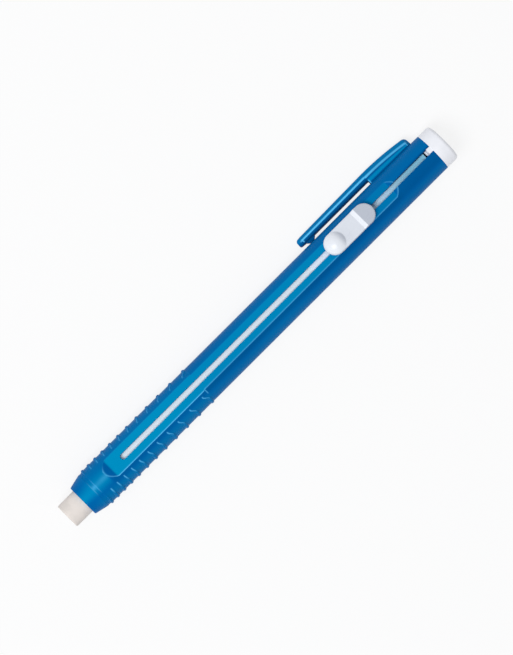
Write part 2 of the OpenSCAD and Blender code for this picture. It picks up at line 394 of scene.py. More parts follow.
@dataclass
class Graph:
    """Nodes of one material or world, with short calls for adding and linking them."""

    owner: bpy.types.Material | bpy.types.World

    def __post_init__(self) -> None:
        """Empties the node tree."""
        self.owner.use_nodes = True
        self.owner.node_tree.nodes.clear()

    @classmethod
    def named(cls, name: str) -> "Graph":
        """Graph of a new material with that name."""
        return cls(bpy.data.materials.new(name))

    def plug(self, socket: bpy.types.NodeSocket, value: float | tuple | bpy.types.NodeSocket) -> None:
        """Links an output to an input, or sets the input.

        Args:
            socket: The input.
            value: A number, a colour or an output to link.
        """
        if isinstance(value, bpy.types.NodeSocket):
            self.owner.node_tree.links.new(value, socket)
        else:
            socket.default_value = value

    def add(self, kind: str, settings: dict | None = None, **sockets) -> bpy.types.Node:
        """Adds a node.

        Args:
            kind: Its type, without the word ShaderNode.
            settings: Properties of the node.
            **sockets: What goes into its inputs, by their names, with _ for a space.

        Returns:
            The node.
        """
        node = self.owner.node_tree.nodes.new("ShaderNode" + kind)
        for key, value in (settings or {}).items():
            setattr(node, key, value)
        for key, value in sockets.items():
            self.plug(node.inputs[key.replace("_", " ")], value)
        return node

    def join(self, kind: str, values: dict, **settings) -> bpy.types.Node:
        """Adds a node whose inputs share their names.

        Args:
            kind: Its type, without the word ShaderNode.
            values: What goes into its inputs, by their numbers.
            **settings: Properties of the node.

        Returns:
            The node.
        """
        node = self.add(kind, settings)
        for place, value in values.items():
            self.plug(node.inputs[place], value)
        return node

    def attribute(self, name: str) -> bpy.types.NodeSocket:
        """A number that the piece's points carry."""
        return self.add("Attribute", {"attribute_name": name}).outputs["Fac"]

    def noise(self, pattern: Pattern) -> bpy.types.NodeSocket:
        """Noise of a pattern.

        Args:
            pattern: The pattern.

        Returns:
            The noise, about 0.5 on average.
        """
        place = self.add("TexCoord").outputs["Object"]
        scaled = self.add("Mapping", Vector=place, Scale=pattern.stretch).outputs["Vector"]
        noise = self.add("TexNoise", Vector=scaled, Scale=1.0 / pattern.size, Detail=pattern.detail)
        return noise.outputs["Fac"]

    def bump(self, height: bpy.types.NodeSocket, strength: float, depth: float) -> bpy.types.NodeSocket:
        """Normals of a surface that a height from 0 to 1 raises by up to a depth."""
        return self.add("Bump", Height=height, Strength=strength, Distance=depth).outputs["Normal"]

    def fit(self, value: bpy.types.NodeSocket, low: float, high: float | bpy.types.NodeSocket,
            start: float = 0.3, end: float = 0.7) -> bpy.types.NodeSocket:
        """Maps a value between start and end to one between low and high.

        Args:
            value: The value.
            low: Result at start and below.
            high: Result at end and above.
            start: Value that gives low.
            end: Value that gives high.

        Returns:
            The mapped value.
        """
        sockets = {"From_Min": start, "From_Max": end, "To_Min": low, "To_Max": high}
        return self.add("MapRange", Value=value, **sockets).outputs["Result"]

    def blend(self, share: bpy.types.NodeSocket, low: tuple | bpy.types.NodeSocket,
              high: tuple | bpy.types.NodeSocket) -> bpy.types.NodeSocket:
        """Colour between two colours or outputs.

        A mix of colours takes them at inputs 6 and 7 and gives its result at output 2.

        Args:
            share: Share of the second colour, from 0 to 1.
            low: First colour.
            high: Second colour.

        Returns:
            The blended colour.
        """
        low, high = (c if isinstance(c, bpy.types.NodeSocket) else (*c, 1.0) for c in (low, high))
        return self.join("Mix", {0: share, 6: low, 7: high}, data_type="RGBA").outputs[2]

    def finish(self, shader: bpy.types.NodeSocket) -> bpy.types.Material:
        """Links the shader to the output and gives the material."""
        self.add("OutputMaterial", Surface=shader)
        return self.owner


@dataclass(frozen=True)
class BluePlastic:
    """Glossy see-through plastic, with painted light where light comes through a thinner wall and painted
    highlights along its sharp edges.

    The attribute painted_light runs from -1, full painted shade, over 0 to 1, full painted light through the
    wall.
    The attribute painted_highlight runs from 0 to 1, a fully painted highlight on an edge.
    """

    name: str = "blue_plastic"
    # Colour of painted shade, as under the clip's belly.
    painted_shade: tuple = (0.0, 0.04, 0.13)
    thick: tuple = (0.0, 0.112, 0.375)
    worn: tuple = (0.0, 0.135, 0.41)
    # Colour of painted light that comes through the wall.
    painted_light: tuple = (0.0, 0.27, 0.53)
    # Colour of painted highlights along edges.
    edge: tuple = (0.11, 0.56, 0.95)
    tint: tuple = (0.02, 0.62, 1.0)
    cloud: Pattern = Pattern(9.0 * MM, stretch=(0.4, 1.0, 1.0))
    grain: Pattern = Pattern(0.35 * MM, detail=3.0)
    grain_strength: float = 0.35
    grain_depth: float = 0.004 * MM
    spots: Pattern = Pattern(2.5 * MM)
    roughness: tuple = (0.32, 0.44)
    deep_roughness: float = 0.9
    deep_range: tuple = (-0.9, -0.4)
    gloss: float = 0.04
    ior: float = 1.5

    def material(self) -> bpy.types.Material:
        """Makes the finish: clouded colour with painted light, shade and highlights, a fine moulded grain
        and a tinted gloss.

        Returns:
            The material.
        """
        graph = Graph.named(self.name)
        wall = graph.blend(graph.fit(graph.noise(self.cloud), 0.0, 1.0), self.thick, self.worn)
        # Painted shade toward -1, painted light through the wall toward 1, then painted highlights on edges.
        painted_light = graph.attribute("painted_light")
        wall = graph.blend(graph.fit(painted_light, 1.0, 0.0, start=-1.0, end=0.0), wall, self.painted_shade)
        wall = graph.blend(graph.fit(painted_light, 0.0, 1.0, start=0.0, end=1.0), wall, self.painted_light)
        roughness = graph.fit(graph.noise(self.spots), *self.roughness)
        shader = graph.add(
            "BsdfPrincipled",
            Base_Color=graph.blend(graph.attribute("painted_highlight"), wall, self.edge),
            Roughness=graph.fit(painted_light, self.deep_roughness, roughness, *self.deep_range),
            Normal=graph.bump(graph.noise(self.grain), self.grain_strength, self.grain_depth),
            Specular_IOR_Level=self.gloss,
            Specular_Tint=(*self.tint, 1.0),
            IOR=self.ior,
        )
        return graph.finish(shader.outputs["BSDF"])


@dataclass(frozen=True)
class WhitePlastic:
    """White moulded plastic with a soft gloss.

    Its painted shade follows the attribute painted_light or, where shade_x gives a start and an end, the
    place along the barrel.
    """

    name: str = "white_plastic"
    low: tuple = (0.87, 0.88, 0.93)
    high: tuple = (0.91, 0.92, 0.97)
    shade: tuple = (0.62, 0.66, 0.75)
    shade_x: tuple = ()
    cloud: Pattern = Pattern(3.0 * MM)
    grain: Pattern = Pattern(0.3 * MM, detail=3.0)
    grain_strength: float = 0.3
    grain_depth: float = 0.003 * MM
    spots: Pattern = Pattern(1.5 * MM)
    roughness: tuple = (0.26, 0.38)
    gloss: float = 0.5

    def material(self) -> bpy.types.Material:
        """Makes the finish: a faint cloud in the colour, a painted shade, a fine grain and a soft gloss.

        Returns:
            The material.
        """
        graph = Graph.named(self.name)
        colour = graph.blend(graph.fit(graph.noise(self.cloud), 0.0, 1.0), self.low, self.high)
        if self.shade_x:
            place = graph.add("SeparateXYZ", Vector=graph.add("TexCoord").outputs["Object"])
            shaded = graph.fit(place.outputs["X"], 0.0, 1.0, *self.shade_x)
        else:
            shaded = graph.attribute("painted_light")
        shader = graph.add(
            "BsdfPrincipled",
            Base_Color=graph.blend(shaded, colour, self.shade),
            Roughness=graph.fit(graph.noise(self.spots), *self.roughness),
            Normal=graph.bump(graph.noise(self.grain), self.grain_strength, self.grain_depth),
            Specular_IOR_Level=self.gloss,
        )
        return graph.finish(shader.outputs["BSDF"])


# Slide white, with a painted shade colour for the slope and the dome's rear.
SLIDE_WHITE = WhitePlastic(
    "cool_white_plastic", low=(0.81, 0.84, 0.90), high=(0.85, 0.88, 0.94), shade=(0.49, 0.53, 0.62))
# Carrier white, with a painted shade that grows darker and bluer toward the rear, inside the barrel.
INNER_WHITE = WhitePlastic(
    "inner_white_plastic", low=(0.80, 0.86, 0.94), high=(0.85, 0.90, 0.98), shade=(0.35, 0.77, 1.0),
    shade_x=(104 * MM, 121 * MM))


@dataclass(frozen=True)
class Rubber:
    """Matt vinyl rubber with a fine skin: warm and smudged where it was in use, farther back unused and with
    a painted blue light.

    The attribute painted_light is 1 on the unused rubber farther back, which takes the painted blue light.
    """

    name: str = "white_rubber"
    used: tuple = (0.80, 0.735, 0.69)
    smudge: tuple = (0.69, 0.645, 0.605)
    # Colour of unused rubber with a painted blue light from the barrel on it.
    clean_and_blue_lit: tuple = (0.87, 0.93, 0.97)
    cloud: Pattern = Pattern(2.2 * MM, detail=4.0)
    smudge_range: tuple = (0.42, 0.74)
    skin: Pattern = Pattern(0.22 * MM, detail=4.0, stretch=(1.6, 1.0, 1.0))
    skin_strength: float = 0.5
    skin_depth: float = 0.012 * MM
    roughness: float = 0.72
    gloss: float = 0.3

    def material(self) -> bpy.types.Material:
        """Makes the finish: smudges and a painted blue light in the colour, a cut skin in the bump and
        hardly any gloss.

        Returns:
            The material.
        """
        graph = Graph.named(self.name)
        smudge = graph.fit(graph.noise(self.cloud), 0.0, 1.0, *self.smudge_range)
        used = graph.blend(smudge, self.used, self.smudge)
        shader = graph.add(
            "BsdfPrincipled",
            Base_Color=graph.blend(graph.attribute("painted_light"), used, self.clean_and_blue_lit),
            Roughness=self.roughness,
            Normal=graph.bump(graph.noise(self.skin), self.skin_strength, self.skin_depth),
            Specular_IOR_Level=self.gloss,
        )
        return graph.finish(shader.outputs["BSDF"])


@dataclass(frozen=True)
class SpringSteel:
    """Bright rolled strip with fine lines along its length."""

    name: str = "spring_steel"
    colour: tuple = (0.56, 0.57, 0.59)
    lines: Pattern = Pattern(0.6 * MM, detail=3.0, stretch=(0.05, 6.0, 6.0))
    line_strength: float = 0.3
    line_depth: float = 0.004 * MM
    roughness: tuple = (0.22, 0.4)

    def material(self) -> bpy.types.Material:
        """Makes the finish: metal whose rolling lines vary its roughness and bump.

        Returns:
            The material.
        """
        graph = Graph.named(self.name)
        lines = graph.noise(self.lines)
        shader = graph.add(
            "BsdfPrincipled",
            Base_Color=(*self.colour, 1.0),
            Metallic=1.0,
            Roughness=graph.fit(lines, *self.roughness),
            Normal=graph.bump(lines, self.line_strength, self.line_depth),
        )
        return graph.finish(shader.outputs["BSDF"])


@dataclass
class Finishes:
    """One material for each slot."""

    materials: dict = field(default_factory=dict)

    def __post_init__(self) -> None:
        """Makes the materials."""
        self.materials = {
            Slot.BLUE: BluePlastic().material(),
            Slot.WHITE: WhitePlastic().material(),
            Slot.RUBBER: Rubber().material(),
            Slot.STEEL: SpringSteel().material(),
        }

    def dress(self, piece: bpy.types.Object, slot: Slot, finish: bpy.types.Material | None = None) -> None:
        """Gives a new piece its material.

        Args:
            piece: The piece.
            slot: The slot that it takes its finish from.
            finish: The material, where it isn't the slot's usual one.
        """
        piece.data.materials.clear()
        piece.data.materials.append(finish or self.materials[slot])

    def repaint(self, node: str, finish: bpy.types.Material) -> bpy.types.Object:
        """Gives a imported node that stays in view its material.

        Args:
            node: The node's name.
            finish: The material.

        Returns:
            The node's object.
        """
        piece = frame["nodes"][node]
        for place in piece.material_slots:
            place.material = finish
        return piece


@dataclass(frozen=True)
class Spots:
    """Points of the barrel's outer surface on one side.

    Attributes:
        side: The side.
        x: Places along the barrel.
        line: The same before the hooks bend them.
        angle: Angles from the top.
        body_z: Heights of the round barrel there.
        recess_z: Heights of the recess there.
    """

    side: Side
    x: np.ndarray
    line: np.ndarray
    angle: np.ndarray
    body_z: np.ndarray
    recess_z: np.ndarray


@dataclass(frozen=True)
class PaintedBarrelLight:
    """Painted light and shade in the barrel's colour: painted light through its wall, painted shade and
    painted highlights on its edges.

    All of it is given as shares of the finish's colours for painted light and painted highlights. Fades
    along the barrel start and end at distances from the place that they are used at, or from the
    eraser's face, and pairs give a painted light and how much of it is lost past the grip.
    """

    barrel: "Barrel"
    upper: float = math.radians(60)

    # Painted light on the recess's floor, weaker toward the rear.
    floor_side: Fade = Fade(0.0, 0.1 * MM)
    floor_rim: Fade = Fade(0.01 * MM, 0.17 * MM)
    floor_middle: Fade = Fade(33 * MM, 55 * MM, 0.24)
    floor_rear: Fade = Fade(88 * MM, 110 * MM, 0.32)
    slot_wall_fade: float = 3.0 * MM

    # A painted stripe of light on the nose.
    stripe: float = 0.75
    stripe_middle: float = math.radians(-10)
    stripe_half: float = math.radians(40)
    stripe_near: float = math.radians(27)
    stripe_end: Fade = Fade(-0.6 * MM, 0.4 * MM)

    # Painted light and shade on the flanks, and a painted shade beside the slot's rear.
    past_grip: Fade = Fade(-0.5 * MM, 0.5 * MM)
    clip_flank: tuple = (0.2, 0.07)
    far_low: tuple = (0.28, 0.14)
    far_high: tuple = (0.05, 0.18)
    far_turn: Fade = Fade(math.radians(34), math.radians(56))
    beside_recess: Fade = Fade(-0.5 * MM, 1.0 * MM, 0.23)
    past_recess: float = 0.1
    slot_shade: float = 0.7
    slot_shade_w: float = 0.35 * MM

    # Painted highlights along the recess's outline.
    edge_w: float = 0.08 * MM
    edge_outside: float = 2.5
    clip_side_edge: float = 0.05
    toward_clip: Fade = Fade(math.radians(2), math.radians(24))
    front_end: Fade = Fade(0.0, -0.5 * MM, 0.55)
    rear_end: Fade = Fade(0.0, 0.5 * MM, 0.36)
    edge_past_grip: Fade = Fade(-1.0 * MM, 1.0 * MM, 0.45)
    edge_on_nose: Fade = Fade(0.0, -1.0 * MM, 0.6)

    # Painted highlights on the band, and a painted streak on the nose.
    band: float = 0.6
    band_w: float = 0.1 * MM
    band_reach: Fade = Fade(0.0, 0.9)
    streak: float = 0.42
    streak_middle: float = math.radians(-6)
    streak_w: float = 0.16
    streak_on_grip: Fade = Fade(0.0, 0.4 * MM, 0.3)
    streak_rise: float = 0.1
    streak_rise_end: float = 0.7 * MM
    streak_end: Fade = Fade(-0.2 * MM, 0.0)

    # Painted highlights on the ribs' upper ends and on the grip's step.
    crest_least: float = 0.4
    crest_more: float = 0.45
    crest_w: float = 0.14 * MM
    crest_top: float = math.radians(42)
    crest_low: Fade = Fade(math.radians(64), math.radians(46))
    crest_start: float = 0.5 * MM
    step: float = 0.8
    step_w: float = 0.09 * MM
    step_top: Fade = Fade(math.radians(47), math.radians(42))

    def off_stripe(self, spots: Spots) -> np.ndarray:
        """Distance from the middle of the nose's painted stripe of light, as a share of its reach on that
        side.

        Args:
            spots: The points.

        Returns:
            The shares: 0 in the middle, 1 at the stripe's edge.
        """
        away = spots.side.value * spots.angle - self.stripe_middle
        return np.where(away > 0.0, away / self.stripe_half, -away / self.stripe_near)

    def on_flank(self, spots: Spots) -> np.ndarray:
        """Painted light and shade on the barrel's round side, where the far side is darker toward its top.

        Args:
            spots: The points.

        Returns:
            The shares.
        """
        barrel, x = self.barrel, spots.x
        past_grip = self.past_grip.at(x - barrel.grip_end)
        clip_flank, low, high = (
            light - loss * past_grip for light, loss in (self.clip_flank, self.far_low, self.far_high))
        if spots.side is Side.CLIP:
            return clip_flank
        high = high - self.beside_recess.at(x - barrel.recess_x)
        high = high + self.past_recess * ease(barrel.floor_end, barrel.recess_end, x)
        return high + (low - high) * self.far_turn.at(spots.angle)

    def painted_light_through_wall(self, spots: Spots) -> np.ndarray:
        """Painted light, as if it came through the wall from the white rubber inside it, and painted shade.

        It is full on the recess's floor, falls off across a painted stripe of light on the nose and is low
        on the flanks. The slot's rear end lies in a painted shade on the clip's side.

        Args:
            spots: The points.

        Returns:
            The shares, from -1 to 1.
        """
        barrel, x = self.barrel, spots.x
        inside = self.floor_side.at(spots.body_z - spots.recess_z)
        over_floor = 1.0 - self.floor_rim.at(spots.recess_z - barrel.floor_z)
        floor = inside * over_floor * (1.0 - self.floor_middle.at(x) - self.floor_rear.at(x))
        front = 1.0 - self.stripe_end.at(x - barrel.recess_x)
        stripe = self.stripe * (1.0 - ease(0.0, 1.0, self.off_stripe(spots))) * front
        flank = self.on_flank(spots) * ease(barrel.rim_x, barrel.grip_x, x)
        lit = np.maximum(floor, stripe) + flank * (1.0 - stripe) * (1.0 - inside)
        if spots.side is Side.FAR:
            return lit
        from_slot = np.abs(barrel.radius * np.sin(spots.angle) - barrel.slot_half)
        shade = self.slot_shade * ease(barrel.floor_end, barrel.end_x, x) * (spots.angle < self.upper)
        return lit - shade * falloff(from_slot, self.slot_shade_w)

    def slot_wall(self, line: np.ndarray) -> np.ndarray:
        """Painted light and shade in the slot's walls: full painted light beside the recess, painted shade
        behind it.

        Args:
            line: The stations.

        Returns:
            The shares, from 1 to -1, one row for each station.
        """
        start = self.barrel.floor_end - self.slot_wall_fade
        return 1.0 - 2.0 * ease(start, self.barrel.recess_end, line)[:, None]

    def on_outline(self, spots: Spots, weight: float) -> np.ndarray:
        """Painted highlight on the recess's outline, strongest on the far side and at the recess's ends.

        Args:
            spots: The points.
            weight: Share of the painted highlight that this side's long edge gets.

        Returns:
            The shares.
        """
        barrel, x = self.barrel, spots.x
        not_clip = 1.0 - self.toward_clip.at(spots.side.value * spots.angle)
        ends = self.front_end.at(x - barrel.floor_x) * not_clip + self.rear_end.at(x - barrel.floor_end)
        past_grip = 1.0 - self.edge_past_grip.at(x - barrel.grip_end)
        nose = 1.0 - self.edge_on_nose.at(x - barrel.floor_x)
        inside = spots.body_z - spots.recess_z
        outline = falloff(np.where(inside > 0.0, inside, self.edge_outside * inside), self.edge_w)
        return outline * np.maximum(weight * past_grip * nose, ends) * (spots.angle < self.upper)

    def on_nose(self, spots: Spots) -> np.ndarray:
        """Painted highlights on the band's two edges, and in a painted streak from the band to the recess.

        Args:
            spots: The points.

        Returns:
            The shares.
        """
        barrel, x = self.barrel, spots.x
        lines = falloff(x - barrel.band_x, self.band_w) + falloff(x - barrel.grip_x, self.band_w)
        band = self.band * lines * (1.0 - self.band_reach.at(self.off_stripe(spots)))
        off_streak = np.abs(spots.side.value * spots.angle - self.streak_middle) / self.stripe_half
        bright = self.streak - self.streak_on_grip.at(x - barrel.grip_x)
        rise_end = barrel.recess_x - self.streak_rise_end
        bright = bright + self.streak_rise * ease(barrel.grip_x, rise_end, x)
        bright = bright * (x > barrel.band_x) * (1.0 - self.streak_end.at(x - barrel.recess_x))
        streak = bright * falloff(off_streak, self.streak_w) * (spots.angle < self.upper)
        return np.maximum(band, streak)

    def on_grip(self, spots: Spots, weight: float) -> np.ndarray:
        """Painted highlights on the upper ends of the ribs and on the step where the grip ends.

        Args:
            spots: The points.
            weight: Share of the painted highlight that this side gets.

        Returns:
            The shares.
        """
        barrel, angle = self.barrel, spots.angle
        away = np.abs(spots.line[..., None] - barrel.rib_x).min(axis=-1)
        ends = ease(barrel.rib_fade, self.crest_top, angle) * self.crest_low.at(angle)
        later = ease(barrel.rib_x[0] + self.crest_start, barrel.rib_x[1], spots.line)
        crest = falloff(away, self.crest_w) * ends * (self.crest_least + self.crest_more * weight) * later
        step = falloff(spots.x - barrel.grip_end, self.step_w) * self.step_top.at(angle) * weight
        return np.maximum(crest, self.step * step * (spots.body_z < spots.recess_z))

    def on_edges(self, spots: Spots) -> np.ndarray:
        """How strong the painted highlights along the plastic's edges are.

        Args:
            spots: The points.

        Returns:
            The shares, from 0 to 1.
        """
        weight = 1.0 if spots.side is Side.FAR else self.clip_side_edge
        lights = [self.on_outline(spots, weight), self.on_nose(spots), self.on_grip(spots, weight)]
        return np.clip(np.maximum.reduce(lights), 0.0, 1.0)


@dataclass
class Barrel:
    """The ribbed barrel, with its flat recess and the slot that the thumb slide runs in."""

    radius: float = 5.4 * MM
    rim_r: float = 4.45 * MM
    rim_edge: float = 0.22 * MM
    nose_l: float = 3.8 * MM
    band_l: float = 1.05 * MM
    band_depth: float = 0.14 * MM
    band_edge: float = 0.1 * MM
    cone_r: float = 5.34 * MM
    grip_lift: float = 0.1 * MM
    grip_end: float = 46.57 * MM
    seam_edge: float = 0.07 * MM

    rib_n: int = 12
    rib_h: float = 0.3 * MM
    rib_w: float = 1.0 * MM
    rib_pitch: float = 2.125 * MM
    rib_growth: float = 1.08
    rib_fade: float = math.radians(38)
    rib_foot: float = 0.03 * MM
    hook: float = 1.2 * MM
    hook_start: float = math.radians(58)
    hook_full: float = math.radians(43)
    hook_top: Fade = Fade(math.radians(28), math.radians(38))
    hook_back: float = 5.0 * MM

    recess_depth: float = 0.66 * MM
    recess_start: float = 8.85 * MM
    recess_l: float = 102.25 * MM
    ramp_l: float = 2.0 * MM
    ramp_soft: float = 0.1 * MM
    recess_edge: float = 0.06 * MM
    slot_w: float = 1.55 * MM
    slot_start: float = 5.35 * MM
    slot_edge: float = 0.12 * MM

    bore_r: float = 4.0 * MM
    nose_bore_r: float = 3.65 * MM
    nose_bore_l: float = 5.0 * MM

    plain_step: float = 3.0 * MM
    cone_step: float = 0.6 * MM
    grip_step: float = 0.55 * MM
    hook_step: float = 0.5 * MM
    top_step: float = 0.15 * MM
    ramp_step: float = 0.12 * MM
    rib_step: float = 0.1 * MM
    slot_step: float = 0.06 * MM
    edge_step: float = 0.05 * MM
    seam_step: float = 0.02 * MM
    rib_reach: float = 0.6
    top_angle: float = math.radians(36)
    slot_rows: tuple = (0.0, 0.15, 0.38, 0.67, 1.0)
    recess_rim: tuple = (1.7 * MM, 2.28 * MM)
    side_columns: int = 60
    bore_columns: int = 24

    def __post_init__(self) -> None:
        """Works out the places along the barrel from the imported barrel's box."""
        low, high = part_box("barrel")
        self.rim_x = low.x
        self.end_x = high.x
        self.band_x = self.rim_x + self.nose_l
        self.grip_x = self.band_x + self.band_l
        self.bore_x = self.rim_x + self.nose_bore_l
        self.floor_z = self.radius - self.recess_depth
        self.recess_x = self.rim_x + self.recess_start
        self.recess_end = self.recess_x + self.recess_l
        self.slot_x = self.recess_x + self.slot_start
        self.slot_half = self.slot_w / 2
        self.floor_x = self.recess_x + self.ramp_l
        self.floor_end = self.recess_end - self.ramp_l
        order = np.arange(self.rib_n)
        gaps = (self.rib_growth**order - 1) / (self.rib_growth - 1)
        self.rib_x = self.grip_x + self.rib_w / 4 + self.rib_pitch * gaps
        self.rib_round_r = (self.rib_w**2 / 4 + self.rib_h**2) / (2 * self.rib_h)

    def stations(self) -> np.ndarray:
        """Places along the axis at which the barrel's section is drawn.

        Returns:
            The places, close together at edges, ribs and ramps.
        """
        fine, beside = self.rib_step, 2 * self.band_edge
        reach = self.rib_reach * self.rib_w
        spans = [
            Span(self.rim_x, self.rim_x + self.rim_edge, self.edge_step),
            Span(self.rim_x, self.band_x, self.cone_step),
            Span(self.band_x - beside, self.band_x + beside, self.edge_step),
            Span(self.band_x, self.grip_end, self.grip_step),
            Span(self.grip_x - beside, self.grip_x + beside, self.edge_step),
            Span(self.recess_x - 2 * fine, self.floor_x + 3 * fine, self.ramp_step),
            Span(self.slot_x - self.slot_edge, self.slot_x + fine, self.seam_step),
            Span(self.slot_x + fine, self.slot_x + self.slot_half, self.slot_step),
            Span(self.grip_end - fine, self.grip_end + self.hook + 4 * fine, fine),
            Span(self.grip_end, self.grip_end + self.hook_back, self.hook_step),
            Span(self.floor_end - 3 * fine, self.recess_end + 2 * fine, self.ramp_step),
            Span(self.end_x - 2 * self.seam_edge, self.end_x, self.seam_step),
            *(Span(x - reach, x + reach, fine) for x in self.rib_x),
        ]
        return spread(self.rim_x, self.end_x, self.plain_step, spans)

    def body_radius(self, x: np.ndarray) -> np.ndarray:
        """Radius of the barrel without its ribs: cone, band, then cylinder, with rounded ends.

        Args:
            x: Places along the barrel.

        Returns:
            The radii.
        """
        edge = self.band_edge
        cone = self.rim_r + (self.cone_r - self.rim_r) * (x - self.rim_x) / self.nose_l
        band = self.radius - self.band_depth
        radius = cone + (band - cone) * ease(self.band_x - edge, self.band_x + edge, x)
        radius = radius + (self.radius - radius) * ease(self.grip_x - edge, self.grip_x + edge, x)
        return radius - edge_drop(x - self.rim_x, self.rim_edge) - edge_drop(self.end_x - x, self.seam_edge)

    def body_lift(self, x: np.ndarray) -> np.ndarray:
        """Height of the section's centre above the axis: the grip stands a little proud on top.

        Args:
            x: Places along the barrel.

        Returns:
            The heights.
        """
        edge = self.band_edge
        rise = ease(self.grip_x - edge, self.grip_x + edge, x)
        return self.grip_lift * (rise - ease(self.grip_end - edge, self.grip_end + edge, x))

    def rib_height(self, line: np.ndarray, angle: np.ndarray) -> np.ndarray:
        """Height of the ribs: a round crest that sinks into the barrel toward the top and bottom.

        The crest is rib_h times (sin angle - sin fade) over (1 - sin fade), and across the rib the
        height falls along a circle.

        Args:
            line: Place of the grid line along the barrel, before the hooks bend it.
            angle: Angle from the top.

        Returns:
            The height above the barrel.
        """
        away = np.abs(line[..., None] - self.rib_x).min(axis=-1)
        crest = self.rib_h * (np.sin(angle) - math.sin(self.rib_fade)) / (1 - math.sin(self.rib_fade))
        bow = np.sqrt(np.maximum(self.rib_round_r**2 - away**2, 0.0)) - self.rib_round_r
        return soft_max(bow + crest, 0.0, self.rib_foot)

    def hook_shift(self, line: np.ndarray, angle: np.ndarray) -> np.ndarray:
        """How far a grid line bends toward the nose where the ribs' upper ends hook round.

        The bend grows from the first rib to the last, and eases in toward the top and out again.

        Args:
            line: Place of the grid line along the barrel.
            angle: Angle from the top.

        Returns:
            The shift, which is 0 or less.
        """
        first, last = self.rib_x[0], self.rib_x[-1]
        grow = np.clip((line - first) / (last - first), 0.0, 1.0)
        stay = 1.0 - ease(self.grip_end, self.grip_end + self.hook_back, line)
        rise = ease(self.hook_start, self.hook_full, angle)
        return -self.hook * grow * stay * rise * self.hook_top.at(angle)

    def slot_reach(self, x: np.ndarray) -> np.ndarray:
        """Half the slot's width, which follows a half circle at the front end and is 0 before it."""
        short = np.maximum(self.slot_x + self.slot_half - x, 0.0)
        return np.sqrt(np.maximum(self.slot_half**2 - short**2, 0.0))

    def recess_height(self, x: np.ndarray) -> np.ndarray:
        """Height of the recess: a flat floor, with a flat ramp that rises to the barrel at each end.

        Args:
            x: Places along the barrel.

        Returns:
            The heights.
        """
        slope = self.recess_depth / self.ramp_l
        front = self.recess_x + self.ramp_l - x
        rear = x - self.recess_end + self.ramp_l
        return self.floor_z + slope * soft_max(soft_max(front, rear, 0.0), 0.0, self.ramp_soft)

    def columns(self, line: np.ndarray) -> np.ndarray:
        """Angles from the top at which each station's outer points lie.

        Near the top they keep their distances across the barrel, and below they are evenly turned.

        Args:
            line: The stations.

        Returns:
            The angles, stations by columns.
        """
        radius = self.body_radius(line)[:, None]
        half = self.slot_reach(line)[:, None]
        reach = self.radius * math.sin(self.top_angle) - self.slot_half
        rows = spread(self.slot_edge, reach, self.top_step, [Span(*self.recess_rim, self.edge_step)])
        across = np.concatenate([np.array(self.slot_rows) * self.slot_edge, rows[1:]])
        y = half + (radius * math.sin(self.top_angle) - half) * (across / across[-1])
        below = np.linspace(self.top_angle, math.pi, self.side_columns + 1)[1:]
        below = np.broadcast_to(below, (len(line), len(below)))
        return np.concatenate([np.arcsin(y / radius), below], axis=1)

    def outer_half(self, line: np.ndarray, side: Side) -> tuple[np.ndarray, np.ndarray, np.ndarray]:
        """Outer surface of one half, from the slot's edge down to the lowest side, drawn toward +Y.

        Args:
            line: The stations.
            side: The side.

        Returns:
            The points, stations by columns by three, the painted light and shade, and the painted highlights
            on edges.
        """
        angle = self.columns(line)
        lines = np.broadcast_to(line[:, None], angle.shape)
        full = self.body_radius(line)[:, None] + self.rib_height(lines, angle)
        x = lines + self.hook_shift(lines, angle)
        y = full * np.sin(angle)
        body_z = self.body_lift(line)[:, None] + full * np.cos(angle)
        recess_z = self.recess_height(x)
        z = soft_min(body_z, recess_z, self.recess_edge)
        to_slot = np.hypot(np.minimum(x - self.slot_x - self.slot_half, 0.0), y) - self.slot_half
        z = z - edge_drop(np.maximum(to_slot, 0.0), self.slot_edge) * (angle < math.pi / 2)
        light = PaintedBarrelLight(self)
        spots = Spots(side, x, lines, angle, body_z, recess_z)
        return np.stack([x, y, z], axis=-1), light.painted_light_through_wall(spots), light.on_edges(spots)

    def bore_half(self, line: np.ndarray) -> np.ndarray:
        """Inner surface of the +Y half: the close nose bore, then the main bore.

        Args:
            line: The stations.

        Returns:
            The points, stations by columns by three.
        """
        edge = self.band_edge
        grow = ease(self.bore_x - edge, self.bore_x + edge, line)
        radius = (self.nose_bore_r + (self.bore_r - self.nose_bore_r) * grow)[:, None]
        start = np.arcsin(self.slot_reach(line)[:, None] / radius)
        angle = start + (math.pi - start) * np.linspace(0.0, 1.0, self.bore_columns + 1)
        x = np.broadcast_to(line[:, None], angle.shape)
        return np.stack([x, radius * np.sin(angle), radius * np.cos(angle)], axis=-1)

    def build(self, finishes: Finishes) -> bpy.types.Object:
        """Makes the barrel from its outer surface, its bore, the slot's walls and the two end faces.

        Args:
            finishes: The materials.

        Returns:
            The piece.
        """
        skin = Skin("barrel_shell")
        line = self.stations()
        bore = self.bore_half(line)
        cut = self.slot_reach(line) > 0.0
        open_wall = (cut[:-1] | cut[1:])[:, None]
        for side in Side:
            flip = np.array([1.0, side.value, 1.0])
            outer, painted_light, painted_highlight = self.outer_half(line, side)
            outside = skin.add_points(outer * flip, painted_light, painted_highlight)
            # The bore takes the painted light and shade of the slot's walls.
            inside = skin.add_points(bore * flip, PaintedBarrelLight(self).slot_wall(line))
            skin.add_quads(outside)
            skin.add_quads(inside)
            skin.add_quads(np.stack([outside[:, 0], inside[:, 0]], axis=1), keep=open_wall)
            self.add_ends(skin, outside, inside)
        piece = skin.build()
        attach(piece, Body.BARREL.value)
        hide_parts("barrel")
        finishes.dress(piece, Slot.BLUE)
        return piece

